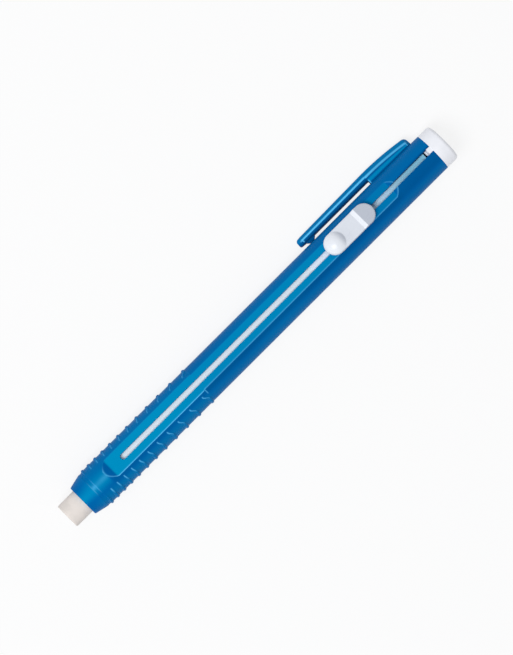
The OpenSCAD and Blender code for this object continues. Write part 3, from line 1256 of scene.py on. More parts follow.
    def add_ends(self, skin: Skin, outside: np.ndarray, inside: np.ndarray) -> None:
        """Closes the rings between the outer surface and the bore at the nose and at the rear.

        Args:
            skin: The skin that takes the faces.
            outside: Numbers of the outer points.
            inside: Numbers of the bore's points.
        """
        ratio = (outside.shape[1] - 1) / self.bore_columns
        for row in (0, -1):
            for column in range(self.bore_columns):
                start, end = round(column * ratio), round((column + 1) * ratio)
                over = outside[row, start:end + 1].tolist()
                skin.faces.append([*over, int(inside[row, column + 1]), int(inside[row, column])])


@dataclass
class Clip:
    """The pocket clip: a springy arm that grows out of a root on the barrel."""

    barrel: Barrel
    width: float = 3.5 * MM
    length: float = 37.8 * MM
    root_l: float = 14.1 * MM
    root_back: float = 2.4 * MM
    gap: float = 0.9 * MM
    rise: float = 3.42 * MM
    arm_drop: float = 0.35 * MM
    bow_r: float = 83.0 * MM
    bevel: float = 1.0 * MM
    bevel_rise: float = 1.5 * MM
    bevel_soft: float = 0.08
    ridge_low: float = 0.45
    flat_least: float = 0.3
    rear_rise: float = 0.9 * MM
    tip_r: tuple = (0.85 * MM, 0.45 * MM)
    under_draw: float = 0.25 * MM
    back_ease: float = 0.4 * MM
    ridge_ease: float = 0.2 * MM
    under_ease: float = 0.9 * MM
    ease_most: float = 0.4
    corner_r: float = 0.9 * MM
    slit_r: float = 0.35 * MM
    foot_r: float = 0.3 * MM
    bend: float = 2.5 * MM
    sharp_deg: float = 40.0

    nub_l: float = 3.2 * MM
    nub_tip_l: float = 1.2 * MM
    nub_back: float = 1.6 * MM
    nub_gap: float = 0.05 * MM
    nub_half: float = 1.4 * MM
    nub_side: float = 0.25 * MM
    nub_soft: float = 0.06
    nub_side_soft: float = 0.15
    # Painted shade on the nub's underside.
    nub_light: float = -0.45
    nub_least: float = 0.02 * MM
    belly_skin: float = 0.01 * MM

    # Painted light and shade in the clip's colour.
    bevel_light: float = 0.35
    arm_light: tuple = (-0.1, -0.57)
    root_light: tuple = (-0.6, 2.1)
    root_light_low: float = 1.8
    root_light_most: float = 0.8
    # Painted highlights on the ridges, the ends' creases and the slit's end.
    edge_w: float = 0.13 * MM
    edge_over_root: Fade = Fade(0.0, 3.0 * MM, 0.25)
    edge_from_end: Fade = Fade(0.4, 1.0)
    crease: float = 0.9
    crease_w: float = 0.11
    slit_end: float = 0.95
    slit_below: float = 0.2 * MM

    plain_step: float = 1.0 * MM
    root_step: float = 0.5 * MM
    curve_step: float = 0.08 * MM
    corner_step: float = 0.06 * MM
    edge_step: float = 0.05 * MM
    slit_step: float = 0.03 * MM
    end_step: float = 0.02 * MM
    crease_reach: float = 0.25 * MM
    face_reach: float = 0.1 * MM
    foot_reach: float = 0.4 * MM
    slit_reach: float = 1.2
    corner_points: int = 7
    plain_rows: int = 3
    belly_rows: int = 20
    side_rows: tuple = (0.15, 0.35, 0.5, 0.62, 0.68, 0.73, 0.78, 0.82, 0.86, 0.9, 0.95)

    def __post_init__(self) -> None:
        """Works out the clip's places from the barrel."""
        self.rear = self.barrel.end_x - self.root_back
        self.tip = self.rear - self.length
        self.root_x = self.rear - self.root_l
        self.arm_y = self.barrel.radius + self.gap
        self.peak_y = self.barrel.radius + self.rise
        self.sunk_y = (self.barrel.radius + self.barrel.bore_r) / 2
        self.nub_x = self.tip + self.nub_back

    def stations(self) -> np.ndarray:
        """Places along the clip at which its section is drawn.

        Returns:
            The places, close together at the ends, the nub and the slit.
        """
        face, beside = self.face_reach, self.foot_reach
        front_crease, rear_crease = self.tip + self.bevel_rise, self.rear - self.rear_rise
        spans = [
            Span(self.tip, self.tip + face, self.end_step),
            Span(self.tip, self.tip + self.tip_r[0], self.curve_step),
            Span(self.nub_x - beside, self.nub_x + self.nub_l + beside, self.curve_step),
            Span(self.root_x - self.slit_reach * self.slit_r, self.root_x, self.slit_step),
            Span(self.root_x, self.root_x + beside, self.edge_step),
            Span(self.root_x, self.rear, self.root_step),
            Span(front_crease - self.crease_reach, front_crease + self.crease_reach, self.edge_step),
            Span(rear_crease - self.crease_reach, self.rear, self.corner_step),
            Span(self.rear - face, self.rear, self.end_step),
        ]
        return spread(self.tip, self.rear, self.plain_step, spans)

    def back(self, x: np.ndarray) -> np.ndarray:
        """Height of the clip's back: level toward the tip but for a small drop, bowed over the root.

        Args:
            x: Places along the clip.

        Returns:
            The heights.
        """
        arm = self.peak_y - self.arm_drop * (self.root_x - x) / (self.root_x - self.tip)
        root = self.peak_y - (x - self.root_x) ** 2 / (2 * self.bow_r)
        return np.where(x < self.root_x, arm, root)

    def from_end(self, x: np.ndarray) -> np.ndarray:
        """Distance from the nearer end, as a share of that end's bevel."""
        return np.minimum((x - self.tip) / self.bevel_rise, (self.rear - x) / self.rear_rise)

    def outline(self, x: np.ndarray) -> tuple[np.ndarray, np.ndarray, np.ndarray]:
        """Side view and plan of the clip: its back, its belly and half its width.

        Two quarter circles round the free end, and one ends the slit. Both ends narrow in plan by a
        straight bevel.

        Args:
            x: The stations.

        Returns:
            Heights of the back and the belly, and half the width.
        """
        top_r, low_r = self.tip_r
        sag = edge_drop(x - self.tip, low_r)
        back = self.back(x) - edge_drop(x - self.tip, top_r) - edge_drop(self.rear - x, self.corner_r)
        into = np.clip((x - self.root_x + self.slit_r) / self.slit_r, 0.0, 1.0)
        belly = self.arm_y + sag - self.slit_r * (1.0 - np.sqrt(1.0 - into**2))
        belly = np.where(x >= self.root_x - MERGE, self.sunk_y, belly)
        bevel = soft_max(1.0 - self.from_end(x), 0.0, self.bevel_soft)
        return back, belly, self.width / 2 - self.bevel * np.minimum(bevel, 1.0)

    def eased(self, corner: np.ndarray, other: np.ndarray, size: float) -> np.ndarray:
        """Point at a distance from a corner toward another one, at most ease_most of the way.

        Args:
            corner: The corner.
            other: The other corner.
            size: The distance.

        Returns:
            The point.
        """
        away = other - corner
        reach = np.linalg.norm(away, axis=-1, keepdims=True)
        return corner + away * np.minimum(size / np.maximum(reach, MERGE), self.ease_most)

    def section(self, x: np.ndarray) -> tuple[np.ndarray, np.ndarray, np.ndarray]:
        """Closed loops round the clip, one at each station.

        Each loop is a hexagon: flat back, two bevels, two sides that draw in toward the belly, and a
        flat belly. A corner is eased by the curve (1 - t)² a + 2t(1 - t) corner + t² b between two
        points a and b on the sides next to it.

        Args:
            x: The stations.

        Returns:
            The loops, stations by columns by three, the painted light and shade on them, and the painted
            highlights on the ridges between bevel and side.
        """
        back, belly, half = self.outline(x)
        tall = np.maximum(back - belly, 0.0)
        ridge = np.maximum(back - self.bevel_rise, belly + self.ridge_low * tall)
        rooted = x >= self.root_x - MERGE
        grown = np.minimum(tall / self.bevel_rise, 1.0)
        flat = np.maximum(half - self.bevel * grown, self.flat_least * half)
        right = [(flat, back), (half, ridge), (half - self.under_draw * grown * ~rooted, belly)]
        corners = right + [(-z, y) for z, y in reversed(right)]
        points = np.array([np.stack([y, z], axis=-1) for z, y in corners])
        easing = [self.back_ease, self.ridge_ease, self.under_ease]
        easing = easing + easing[::-1]
        # Corners on the ridges carry the painted highlight.
        lit = [0.0, 1.0, 0.0, 0.0, 1.0, 0.0]
        curve = np.linspace(0.0, 1.0, self.corner_points)[None, :, None]
        side = np.array(self.side_rows)
        plain, under = (np.linspace(0.0, 1.0, rows + 2)[1:-1] for rows in (self.plain_rows, self.belly_rows))
        loop, painted_highlight = [], []
        for place, run in enumerate([plain, side, under, 1.0 - side[::-1], plain, plain]):
            following = (place + 1) % len(corners)
            corner, before, after = points[place], points[place - 1], points[following]
            a = self.eased(corner, before, easing[place])[:, None]
            b = self.eased(corner, after, easing[place])[:, None]
            c = self.eased(after, corner, easing[following])[:, None]
            loop.append((1 - curve) ** 2 * a + 2 * curve * (1 - curve) * corner[:, None] + curve**2 * b)
            loop.append(b + (c - b) * run[None, :, None])
            painted_highlight += [np.full(self.corner_points, lit[place]), np.zeros(len(run))]
        yz = np.concatenate(loop, axis=1)
        wide = np.broadcast_to(x[:, None, None], (*yz.shape[:2], 1))
        painted_light = self.painted_light_through_wall(yz[..., 0], ridge[:, None], belly[:, None], rooted[:, None])
        painted_highlight = np.broadcast_to(np.concatenate(painted_highlight), painted_light.shape)
        return np.concatenate([wide, yz], axis=-1), painted_light, painted_highlight

    def painted_light_through_wall(self, y: np.ndarray, ridge: np.ndarray, belly: np.ndarray,
                     rooted: np.ndarray) -> np.ndarray:
        """Painted light in the clip's colour: most in the bevels, less down to painted shade toward the
        belly, in one band on the root.

        With d running from 0 at the ridge to 1 at the belly or the barrel, the band on the root is
        the square of the sine of pi times d to the power of root_light_low.

        Args:
            y: Heights of the points.
            ridge: Height of the ridge at each station.
            belly: Height of the belly at each station.
            rooted: Whether a station is on the root.

        Returns:
            The shares, from -1 to 1.
        """
        floor = np.where(rooted, self.barrel.radius, belly)
        down = np.clip((ridge - y) / np.maximum(ridge - floor, MERGE), 0.0, 1.0)
        high, fall = self.arm_light
        dark, band = self.root_light
        root = dark + band * np.sin(math.pi * down**self.root_light_low) ** 2
        below = np.where(rooted, np.minimum(root, self.root_light_most), high + fall * down)
        return np.where(y > ridge, self.bevel_light, below)

    def nub_height(self, x: np.ndarray, z: np.ndarray) -> np.ndarray:
        """Height of the nub under the arm: a flat tip with four sloping sides.

        Args:
            x: Places along the clip.
            z: Places across it.

        Returns:
            The heights.
        """
        taper = (self.nub_l - self.nub_tip_l) / 2
        along = np.minimum(x - self.nub_x, self.nub_x + self.nub_l - x) / taper
        inward = (self.nub_half - np.abs(z)) / self.nub_side
        low = soft_min(
            soft_min(along, 1.0, self.nub_soft), soft_min(inward, 1.0, self.nub_side_soft), self.nub_soft)
        return np.clip(low, 0.0, 1.0) * (self.arm_y - self.barrel.radius - self.nub_gap)

    def on_edges(self, x: np.ndarray, y: np.ndarray, z: np.ndarray, ridges: np.ndarray) -> np.ndarray:
        """Painted highlights on the clip's ridges, on the creases of its ends and at the slit's end.

        Args:
            x: Places along the clip.
            y: Heights of the points.
            z: Places across the clip.
            ridges: 1 on the ridges between bevel and side, 0 elsewhere.

        Returns:
            The shares, from 0 to 1.
        """
        radius = self.barrel.radius
        inward = self.from_end(x)
        ridges = ridges * (1.0 - self.edge_over_root.at(x - self.root_x)) * self.edge_from_end.at(inward)
        flank = (np.abs(z) > self.width / 2 - 2 * self.edge_w) & (y > radius)
        creases = self.crease * falloff(inward - 1.0, self.crease_w) * flank
        beside = (np.abs(z) > self.width / 4) & (y < self.arm_y) & (y > radius - self.slit_below)
        slit = self.slit_end * falloff(x - self.root_x - self.edge_w, self.edge_w) * beside
        return np.maximum.reduce([ridges, creases, slit])

    def build(self, finishes: Finishes) -> bpy.types.Object:
        """Makes the clip, with the nub under its tip and a fillet where the root meets the barrel.

        Args:
            finishes: The materials.

        Returns:
            The piece.
        """
        loops, painted_light, ridges = self.section(self.stations())
        x, y, z = np.moveaxis(loops, -1, 0)
        nub = self.nub_height(x, z)
        under = (y < self.arm_y + self.belly_skin) & (x < self.root_x - 2 * self.slit_r)
        y = np.where(under, y - nub, y)
        # The nub's underside gets a painted shade.
        painted_light = np.where(under & (nub > self.nub_least), self.nub_light, painted_light)
        meet = math.sqrt(self.barrel.radius**2 - (self.width / 2 + self.foot_r) ** 2)
        flare = edge_drop(np.maximum(y - meet, 0.0), self.foot_r)
        rooted = (x >= self.root_x - MERGE) & (np.abs(z) > self.width / 4) & (y < self.arm_y)
        z = np.where(rooted, z + np.sign(z) * flare, z)
        skin = Skin("clip")
        skin.add_rings(np.stack([x, y, z], axis=-1), painted_light, self.on_edges(x, y, z, ridges))
        piece = skin.build(self.sharp_deg)
        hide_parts("pocket_clip")
        finishes.dress(piece, Slot.BLUE)
        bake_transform(piece)
        return piece


@dataclass
class ThumbSlide:
    """The white thumb slide: a domed plate with a thumb ridge, on a neck and foot in the slot."""

    barrel: Barrel
    length: float = 16.0 * MM
    width: float = 5.7 * MM
    thick: float = 1.2 * MM
    travel: float = 0.7 * MM
    floor_gap: float = 0.06 * MM
    edge_r: float = 0.3 * MM
    under_edge: float = 0.12 * MM
    dome_r: float = 2.8 * MM
    dome_shift: float = 0.2 * MM
    dome_h: float = 1.3 * MM
    dome_foot: float = 0.12 * MM
    ridge_h: float = 0.5 * MM
    ridge_l: float = 1.0 * MM
    ridge_edge: float = 0.06 * MM
    slope_l: float = 4.1 * MM
    slope_drop: float = 0.45 * MM
    hollow: float = 0.08 * MM
    hollow_side: Fade = Fade(1.0, 0.3)
    neck_l: float = 6.5 * MM
    neck_w: float = 1.35 * MM
    foot_l: float = 8.5 * MM
    foot_w: float = 3.0 * MM
    foot_t: float = 0.95 * MM
    foot_gap: float = 0.13 * MM
    overlap: float = 0.1 * MM
    block_corner: float = 0.25 * MM
    block_chamfer: float = 0.08 * MM
    sharp_deg: float = 30.0

    # Painted shade on the plate's top: on the flat, the slope and the dome's rear.
    flat_shade: float = 0.32
    slope_shade: float = 0.85
    dome_shade: float = 0.75
    dome_shade_start: float = 0.2
    shade_soft: float = 0.15 * MM

    side_step: float = 0.4 * MM
    dome_step: float = 0.12 * MM
    top_step: float = 0.11 * MM
    ridge_step: float = 0.05 * MM
    dome_reach: float = 0.3 * MM
    ridge_reach: float = 0.2 * MM
    under_row: float = 0.6
    end_points: int = 55
    edge_points: int = 7
    under_points: int = 4
    corner_points: int = 7

    def __post_init__(self) -> None:
        """Works out the slide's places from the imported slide's box and the barrel's recess."""
        self.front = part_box("thumb_slide")[0].x
        self.rear = self.front + self.length
        self.under = self.barrel.floor_z + self.floor_gap + self.travel
        self.top = self.under + self.thick
        self.ridge_x = self.rear - self.slope_l
        self.ridge_start = self.ridge_x - self.ridge_l
        self.half = self.width / 2
        self.dome_x = self.front + self.half + self.dome_shift
        self.foot_top = math.sqrt(self.barrel.bore_r**2 - self.foot_w**2 / 4) - self.foot_gap

    def height(self, x: np.ndarray, y: np.ndarray) -> np.ndarray:
        """Height of the plate's top: a hollow between a dome and a ridge, then a slope to the rear.

        The dome is a cap of a ball, whose radius is (r² + h²) over 2h.

        Args:
            x: Places along the slide.
            y: Places across it.

        Returns:
            The heights.
        """
        dome_end = self.dome_x + self.dome_r
        middle, reach = (self.ridge_start + dome_end) / 2, (self.ridge_start - dome_end) / 2
        dip = self.hollow * np.clip(1.0 - ((x - middle) / reach) ** 2, 0.0, 1.0) ** 2
        plate = self.top - dip * self.hollow_side.at(np.abs(y) / self.half)
        rise = self.top + (x - self.ridge_start) * self.ridge_h / self.ridge_l
        fall = self.top + self.ridge_h - (x - self.ridge_x) * (self.ridge_h + self.slope_drop) / self.slope_l
        plate = soft_min(soft_max(plate, rise, self.ridge_edge), fall, self.ridge_edge)
        ball_r = (self.dome_r**2 + self.dome_h**2) / (2 * self.dome_h)
        away = np.minimum(np.hypot(x - self.dome_x, y), ball_r)
        dome = self.top + self.dome_h - ball_r + np.sqrt(ball_r**2 - away**2)
        return soft_max(plate, dome, self.dome_foot)

    def shade(self, x: np.ndarray, y: np.ndarray) -> np.ndarray:
        """How much painted shade darkens the plate's top: least on the dome's front and the ridge, most on
        the slope.

        Args:
            x: Places along the slide.
            y: Places across it.

        Returns:
            The shares, from 0 to 1.
        """
        soft = self.shade_soft
        on_dome = ease(self.dome_r, self.dome_r - soft, np.hypot(x - self.dome_x, y))
        dome = self.dome_shade * ease(self.dome_shade_start * self.dome_r, self.dome_r, x - self.dome_x)
        flat = self.flat_shade * (1.0 - ease(self.ridge_start - soft, self.ridge_start, x))
        slope = self.slope_shade * ease(self.ridge_x, self.ridge_x + soft, x)
        return np.maximum(flat + (dome - flat) * on_dome, slope)

    def outline(self) -> tuple[np.ndarray, np.ndarray]:
        """The plate's outline and, for each of its points, the nearest point of its middle line.

        The outline is two straight sides and two half circles.

        Returns:
            Both sets of points, (x, y) each.
        """
        start, end = self.front + self.half, self.rear - self.half
        along = spread(start, end, self.side_step, [
            Span(start, start + self.dome_r + self.dome_reach, self.dome_step),
            Span(self.ridge_start - self.ridge_reach, self.ridge_x + self.ridge_reach, self.ridge_step)])
        front = np.radians(np.linspace(90.0, 270.0, self.end_points + 2)[1:-1])
        back = front - math.pi
        side = np.full(len(along), self.half)
        middle = np.concatenate([along[::-1], np.full(len(front), start), along, np.full(len(back), end)])
        edge_x = np.concatenate([
            along[::-1], start + self.half * np.cos(front), along, end + self.half * np.cos(back)])
        edge_y = np.concatenate([side, self.half * np.sin(front), -side, self.half * np.sin(back)])
        return np.stack([edge_x, edge_y], axis=-1), np.stack([middle, np.zeros(len(middle))], axis=-1)

    def plate(self, skin: Skin) -> None:
        """Adds the plate: rings that step in from the outline to the middle line, above and below.

        Args:
            skin: The skin that takes the faces.
        """
        edge, middle = self.outline()
        inner = spread(self.edge_r, self.half, self.top_step, [])[1:]
        above = np.concatenate([self.edge_r * (1.0 - np.cos(quarter(self.edge_points))), inner])
        under_edge = self.under_edge * (1.0 - np.cos(quarter(self.under_points)[::-1]))
        below = np.concatenate([[self.half, self.under_row * self.half], under_edge])
        inset = np.concatenate([below, above])
        share = (1.0 - inset / self.half)[:, None, None]
        spot = middle[None] + (edge - middle)[None] * share
        x, y = spot[..., 0], spot[..., 1]
        top = self.height(x, y) - edge_drop(inset, self.edge_r)[:, None]
        under = self.under + edge_drop(inset, self.under_edge)[:, None]
        is_top = (np.arange(len(inset)) >= len(below))[:, None]
        z = np.where(is_top, top, under)
        # The top carries the painted shade.
        numbers = skin.add_points(np.stack([x, y, z], axis=-1), self.shade(x, y) * is_top)
        skin.add_quads(numbers, closed=True)

    def block(self, skin: Skin, length: float, width: float, low: float, high: float) -> None:
        """Adds a block under the plate's middle, with rounded corners and a broken lower edge.

        Args:
            skin: The skin that takes the faces.
            length: Length along the slide.
            width: Width across it.
            low: Height of its underside.
            high: Height of its top.
        """
        turn = quarter(self.corner_points) + np.radians([[0.0], [90.0], [180.0], [270.0]])
        sign_x = np.array([1.0, -1.0, -1.0, 1.0])[:, None]
        sign_y = np.array([1.0, 1.0, -1.0, -1.0])[:, None]
        middle, corner, chamfer = (self.front + self.rear) / 2, self.block_corner, self.block_chamfer
        rings = []
        for inset, z in ((chamfer, low), (0.0, low + chamfer), (0.0, high)):
            x = sign_x * (length / 2 - corner) + (corner - inset) * np.cos(turn)
            y = sign_y * (width / 2 - corner) + (corner - inset) * np.sin(turn)
            rings.append(np.stack([middle + x.ravel(), y.ravel(), np.full(x.size, z)], axis=-1))
        skin.add_rings(np.stack(rings))

    def build(self, finishes: Finishes) -> bpy.types.Object:
        """Makes the slide from its plate, neck and foot.

        Args:
            finishes: The materials.

        Returns:
            The piece.
        """
        skin = Skin("thumb_button")
        self.plate(skin)
        foot_low = self.foot_top - self.foot_t
        self.block(skin, self.neck_l, self.neck_w, foot_low + self.overlap, self.under + self.overlap)
        self.block(skin, self.foot_l, self.foot_w, foot_low, self.foot_top)
        piece = skin.build(self.sharp_deg)
        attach(piece, Body.BUTTON.value)
        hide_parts("thumb_slide")
        finishes.dress(piece, Slot.WHITE, SLIDE_WHITE.material())
        return piece


@dataclass
class LeafSpring:
    """The bowed leaf under the slide's foot, with its ends in the holder."""

    width: float = 2.6 * MM
    thick: float = 0.3 * MM
    rise: float = 1.05 * MM
    low: float = 1.248 * MM
    edge: float = 0.05 * MM
    stations: int = 61
    sharp_deg: float = 35.0

    def build(self, finishes: Finishes) -> bpy.types.Object:
        """Makes the leaf as sections along two circles about one centre, r and r + thick.

        With half the leaf's length l and its rise h, r is (l² + h²) over 2h.

        Args:
            finishes: The materials.

        Returns:
            The piece.
        """
        start, end = (corner.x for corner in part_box("lock_spring"))
        middle, half = (start + end) / 2, (end - start) / 2
        bow_r = (half**2 + self.rise**2) / (2 * self.rise)
        x = np.linspace(-half, half, self.stations)
        centre = self.low + self.rise - bow_r
        under = centre + np.sqrt(bow_r**2 - x**2)
        over = centre + np.sqrt((bow_r + self.thick) ** 2 - x**2)
        side, edge = self.width / 2, self.edge
        outline = [(side, under + edge), (side, over - edge), (side - edge, over), (edge - side, over),
                   (-side, over - edge), (-side, under + edge), (edge - side, under), (side - edge, under)]
        rings = [np.stack([middle + x, np.full(x.size, y), z], axis=-1) for y, z in outline]
        skin = Skin("leaf_spring")
        skin.add_rings(np.stack(rings, axis=1))
        piece = skin.build(self.sharp_deg)
        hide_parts("lock_spring")
        finishes.dress(piece, Slot.STEEL)
        held, pushed = (ROLL.point(middle, 0.0, z) for z in (self.low, self.low + self.rise + self.thick))
        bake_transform(piece)
        return piece


@dataclass
class EraserStick:
    """The rubber stick, with a slightly worn face."""

    barrel: Barrel
    radius: float = 3.5 * MM
    edge_r: float = 0.3 * MM
    wear: float = 0.035 * MM
    wear_l: float = 2.5 * MM
    waves: tuple = ((0.5, 2, 0.7), (0.3, 5, 0.0))
    face_wear: float = 0.5
    face_power: int = 4
    # Length behind the rim over which the painted blue light comes in.
    blue_lit_l: float = 4.0 * MM
    sharp_deg: float = 50.0

    plain_step: float = 6.0 * MM
    clean_step: float = 0.5 * MM
    wear_step: float = 0.3 * MM
    columns: int = 144
    face_points: int = 12
    edge_points: int = 8

    def rings(self, low: float, high: float) -> np.ndarray:
        """Rings of the unworn stick: a flat face, a rounded edge and a cylinder.

        Args:
            low: Place of its face.
            high: Place of its rear end.

        Returns:
            The rings, stations by columns by three.
        """
        flat, rim = self.radius - self.edge_r, self.barrel.rim_x
        face = np.linspace(0.0, flat, self.face_points)
        turn = quarter(self.edge_points)[1:]
        body = spread(low + self.edge_r, high, self.plain_step, [
            Span(low, low + self.wear_l, self.wear_step),
            Span(rim, rim + self.blue_lit_l, self.clean_step)])[1:]
        x = np.concatenate([np.full(len(face), low), low + self.edge_r * (1 - np.cos(turn)), body])
        r = np.concatenate([face, flat + self.edge_r * np.sin(turn), np.full(len(body), self.radius)])
        return revolve(np.stack([x, r], axis=-1), self.columns)

    def build(self, finishes: Finishes) -> bpy.types.Object:
        """Makes the stick, and rubs its front edge down unevenly.

        The wear falls off behind the face as e to the power of minus the distance over wear_l, and
        goes round as 1 plus waves of size · sin(count · angle + start).

        Args:
            finishes: The materials.

        Returns:
            The piece.
        """
        low, high = (corner.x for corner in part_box("eraser"))
        rings = self.rings(low, high)
        x, y, z = np.moveaxis(rings, -1, 0)
        around = np.arctan2(y, z)
        near = np.exp(-(x - low) / self.wear_l)
        wave = 1 + sum(size * np.sin(count * around + start) for size, count, start in self.waves)
        rubbed = self.wear * near * wave
        outward = np.hypot(y, z) / self.radius
        worn = x + np.where(near > self.face_wear, rubbed * outward**self.face_power, 0.0)
        share = 1 - rubbed / self.radius
        skin = Skin("eraser_stick")
        rim = self.barrel.rim_x
        # Painted blue light from the barrel on the rubber behind the rim.
        skin.add_rings(np.stack([worn, y * share, z * share], axis=-1), ease(rim, rim + self.blue_lit_l, worn))
        piece = skin.build(self.sharp_deg)
        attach(piece, Body.SLIDER.value)
        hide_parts("eraser")
        finishes.dress(piece, Slot.RUBBER)
        return piece


@dataclass
class EndCap:
    """The white cap: a rounded end, a plug in the bore and a key in the slot's open end."""

    barrel: Barrel
    edge_r: float = 0.9 * MM
    seam_edge: float = 0.07 * MM
    wall: float = 0.5 * MM
    face_rise: float = 0.06 * MM
    plug_l: float = 1.9 * MM
    plug_gap: float = 0.02 * MM
    plug_chamfer: float = 0.2 * MM
    bead_l: float = 0.5 * MM
    bead_h: float = 0.25 * MM
    bead_slope: float = 0.1 * MM
    bore_r: float = 3.2 * MM
    key_l: float = 1.2 * MM
    key_drop: float = 0.15 * MM
    key_edge: float = 0.1 * MM
    key_sink: float = 0.2 * MM
    key_reach: float = 0.3 * MM
    sharp_deg: float = 35.0

    columns: int = 192
    face_points: int = 10
    edge_points: int = 12
    key_points: int = 6
    lip_points: int = 5

    def profile(self) -> np.ndarray:
        """Half section of the cap, from the middle of its outer face round to its inner face.

        The outer face bulges by a parabola, and quarter circles round its edge and its seam.

        Returns:
            The points, (x, r) each.
        """
        end, seam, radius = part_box("end_cap")[1].x, self.barrel.end_x, self.barrel.radius
        plug = self.barrel.bore_r - self.plug_gap
        flat = radius - self.edge_r
        face_r = np.linspace(0.0, flat, self.face_points)
        face_x = end - self.face_rise * (face_r / flat) ** 2
        turn = quarter(self.edge_points)[1:]
        corner_x = end - self.face_rise - self.edge_r * (1 - np.cos(turn))
        corner_r = flat + self.edge_r * np.sin(turn)
        lip = quarter(self.lip_points)
        lip_x = seam + self.seam_edge * (1 - np.sin(lip))
        lip_r = radius - self.seam_edge * (1 - np.cos(lip))
        front = seam - self.plug_l
        bead_end, inner = front + self.bead_l, end - self.wall
        rest = np.array([
            [seam, plug - self.bead_h], [bead_end, plug - self.bead_h], [bead_end - self.bead_slope, plug],
            [front + self.plug_chamfer, plug], [front, plug - self.plug_chamfer],
            [front, self.bore_r], [inner, self.bore_r], [inner, 0.0]])
        x = np.concatenate([face_x, corner_x, lip_x, rest[:, 0]])
        r = np.concatenate([face_r, corner_r, lip_r, rest[:, 1]])
        return np.stack([x, r], axis=-1)

    def key(self, skin: Skin) -> None:
        """Adds the key: rings across the slot, stacked from the plug up to a top that follows the barrel.

        Args:
            skin: The skin that takes the faces.
        """
        half = self.barrel.slot_half - self.plug_gap
        top = self.barrel.radius - self.key_drop
        low = self.barrel.bore_r - self.bead_h - self.key_sink
        turn = quarter(self.key_points)
        inset = np.concatenate([[0.0, 0.0], self.key_edge * (1 - np.cos(turn))])
        z = np.concatenate([[low, top - 2 * self.key_edge], top - self.key_edge * (1 - np.sin(turn))])
        front = self.barrel.end_x - self.key_l + inset
        back, y = np.full(len(inset), self.barrel.end_x + self.key_reach), half - inset
        corners = [(front, -y), (back, -y), (back, y), (front, y)]
        skin.add_rings(np.stack([np.stack([x, side, z], axis=-1) for x, side in corners], axis=1))

    def build(self, finishes: Finishes) -> bpy.types.Object:
        """Makes the cap.

        Args:
            finishes: The materials.

        Returns:
            The piece.
        """
        skin = Skin("cap_shell")
        skin.add_rings(revolve(self.profile(), self.columns))
        self.key(skin)
        piece = skin.build(self.sharp_deg)
        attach(piece, Body.BARREL.value)
        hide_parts("end_cap")
        finishes.dress(piece, Slot.WHITE)
        return piece


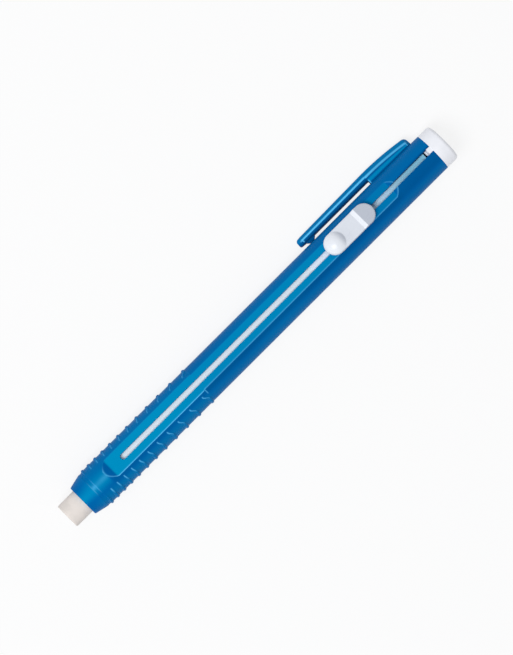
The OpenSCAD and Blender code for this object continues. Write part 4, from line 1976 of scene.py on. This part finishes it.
@dataclass
class Studio:
    """Pale table, soft lamp and a camera that stands where the photograph was taken from."""

    image_w: float = 513.0
    image_h: float = 655.0
    tip_px: tuple = (67.3, 516.4)
    axis_deg: float = 44.9
    metres_per_px: float = 0.25 * MM
    lean_deg: float = 10.0
    distance: float = 1.57
    foot_x: float = 5.0 * MM
    sensor: float = 36.0
    view_range: tuple = (0.05, 20.0)
    table_z: float = -5.4 * MM
    table_reach: float = 3.0
    table_white: float = 0.82
    table_roughness: float = 0.9
    table_gloss: float = 0.1
    pale: tuple = (0.9, 0.9, 0.91)
    white: tuple = (1.0, 1.0, 1.0)
    sky: tuple = (0.96, 0.98, 1.0)
    world_light: float = 0.46
    lamp_from: tuple = (-0.5, -0.25, 1.0)
    lamp_away: float = 1.4
    lamp_size: float = 0.8
    lamp_watts: float = 12.0
    middle_x: float = 66.0 * MM

    def camera(self) -> None:
        """Places the camera: above the thumb slide, turned away from the clip, with its foot near the tip.

        It looks at the point that the photograph has in its middle, and its lens shows metres_per_px
        at that point's distance.
        """
        lean = math.radians(self.lean_deg)
        toward = ROLL.point(0.0, -math.sin(lean), math.cos(lean))
        along = Vector((1.0, 0.0, 0.0))
        across = toward.cross(along)
        turn = math.radians(self.axis_deg)
        right = math.cos(turn) * along - math.sin(turn) * across
        up = math.sin(turn) * along + math.cos(turn) * across
        shift_x = (self.image_w / 2 - self.tip_px[0]) * self.metres_per_px
        shift_y = (self.tip_px[1] - self.image_h / 2) * self.metres_per_px
        target = right * shift_x + up * shift_y
        place = Vector((self.foot_x, 0.0, 0.0)) + toward * self.distance
        back = (place - target).normalized()
        right = (right - back * right.dot(back)).normalized()
        up = back.cross(right)
        data = bpy.data.cameras.new("camera")
        data.type = "PERSP"
        data.sensor_width = self.sensor
        data.lens = self.sensor * (place - target).length / (self.image_h * self.metres_per_px)
        data.clip_start, data.clip_end = self.view_range
        camera = new_object("camera", data)
        camera.matrix_world = Matrix.Translation(place) @ Matrix((right, up, back)).transposed().to_4x4()
        bpy.context.scene.camera = camera

    def lamp(self) -> None:
        """Adds a round soft lamp that faces the object's middle."""
        data = bpy.data.lights.new("softbox", "AREA")
        data.shape = "DISK"
        data.size = self.lamp_size
        data.energy = self.lamp_watts
        toward = ROLL.point(*self.lamp_from)
        lamp = new_object("softbox", data)
        lamp.location = Vector((self.middle_x, 0.0, 0.0)) + toward.normalized() * self.lamp_away
        lamp.rotation_euler = toward.to_track_quat("Z", "Y").to_euler()

    def white_over(self, graph: Graph, shader: bpy.types.Node, white: bpy.types.Node,
                   share: float) -> bpy.types.NodeSocket:
        """Mixes white over a shader for camera, glossy and transmission rays alone.

        Args:
            graph: Graph that takes the nodes.
            shader: The shader.
            white: The white light.
            share: Share of white that those rays see.

        Returns:
            The mixed shader's output.
        """
        path = graph.add("LightPath")
        seen = path.outputs["Is Camera Ray"]
        for ray in ("Is Glossy Ray", "Is Transmission Ray"):
            seen = graph.join("Math", {0: seen, 1: path.outputs[ray]}, operation="MAXIMUM").outputs[0]
        seen = graph.join("Math", {0: seen, 1: share}, operation="MULTIPLY").outputs[0]
        return graph.join("MixShader", {0: seen, 1: shader.outputs[0], 2: white.outputs[0]}).outputs[0]

    def world(self) -> None:
        """Even light from all round, which the camera, mirrors and glass see as white."""
        world = bpy.data.worlds.new("studio")
        bpy.context.scene.world = world
        graph = Graph(world)
        sky = graph.add("Background", Color=(*self.sky, 1.0), Strength=self.world_light)
        white = graph.add("Background", Color=(*self.white, 1.0), Strength=1.0)
        graph.add("OutputWorld", Surface=self.white_over(graph, sky, white, 1.0))

    def table(self) -> None:
        """Adds a pale table top under the object, which keeps a faint shadow."""
        mesh = bpy.data.meshes.new("table_top")
        reach = self.table_reach
        corners = [(-reach, -reach), (reach, -reach), (reach, reach), (-reach, reach)]
        mesh.from_pydata([(x, y, self.table_z) for x, y in corners], [], [(0, 1, 2, 3)])
        graph = Graph.named("pale_table")
        shader = graph.add(
            "BsdfPrincipled", Base_Color=(*self.pale, 1.0), Roughness=self.table_roughness,
            Specular_IOR_Level=self.table_gloss)
        white = graph.add("Emission", Color=(*self.white, 1.0), Strength=1.0)
        mesh.materials.append(graph.finish(self.white_over(graph, shader, white, self.table_white)))
        new_object("table_top", mesh)

    def build(self) -> None:
        """Sets up the view, the table, the world and the lamp."""
        bpy.context.scene.view_settings.view_transform = "Standard"
        self.camera()
        self.world()
        self.table()
        self.lamp()


def main() -> None:
    """Builds the pieces in order and reports each one."""
    logging.basicConfig(level=logging.INFO, format="%(message)s")
    finishes = Finishes()
    barrel = Barrel()
    makers = [barrel, Clip(barrel), ThumbSlide(barrel), LeafSpring(), EraserStick(barrel), EndCap(barrel)]
    pieces = [maker.build(finishes) for maker in makers]
    pieces.append(finishes.repaint("carrier", INNER_WHITE.material()))
    for piece in pieces:
        LOG.info("%s: %d faces", piece.name, len(piece.data.polygons))
    Studio().build()


if __name__ == "__main__":
    main()
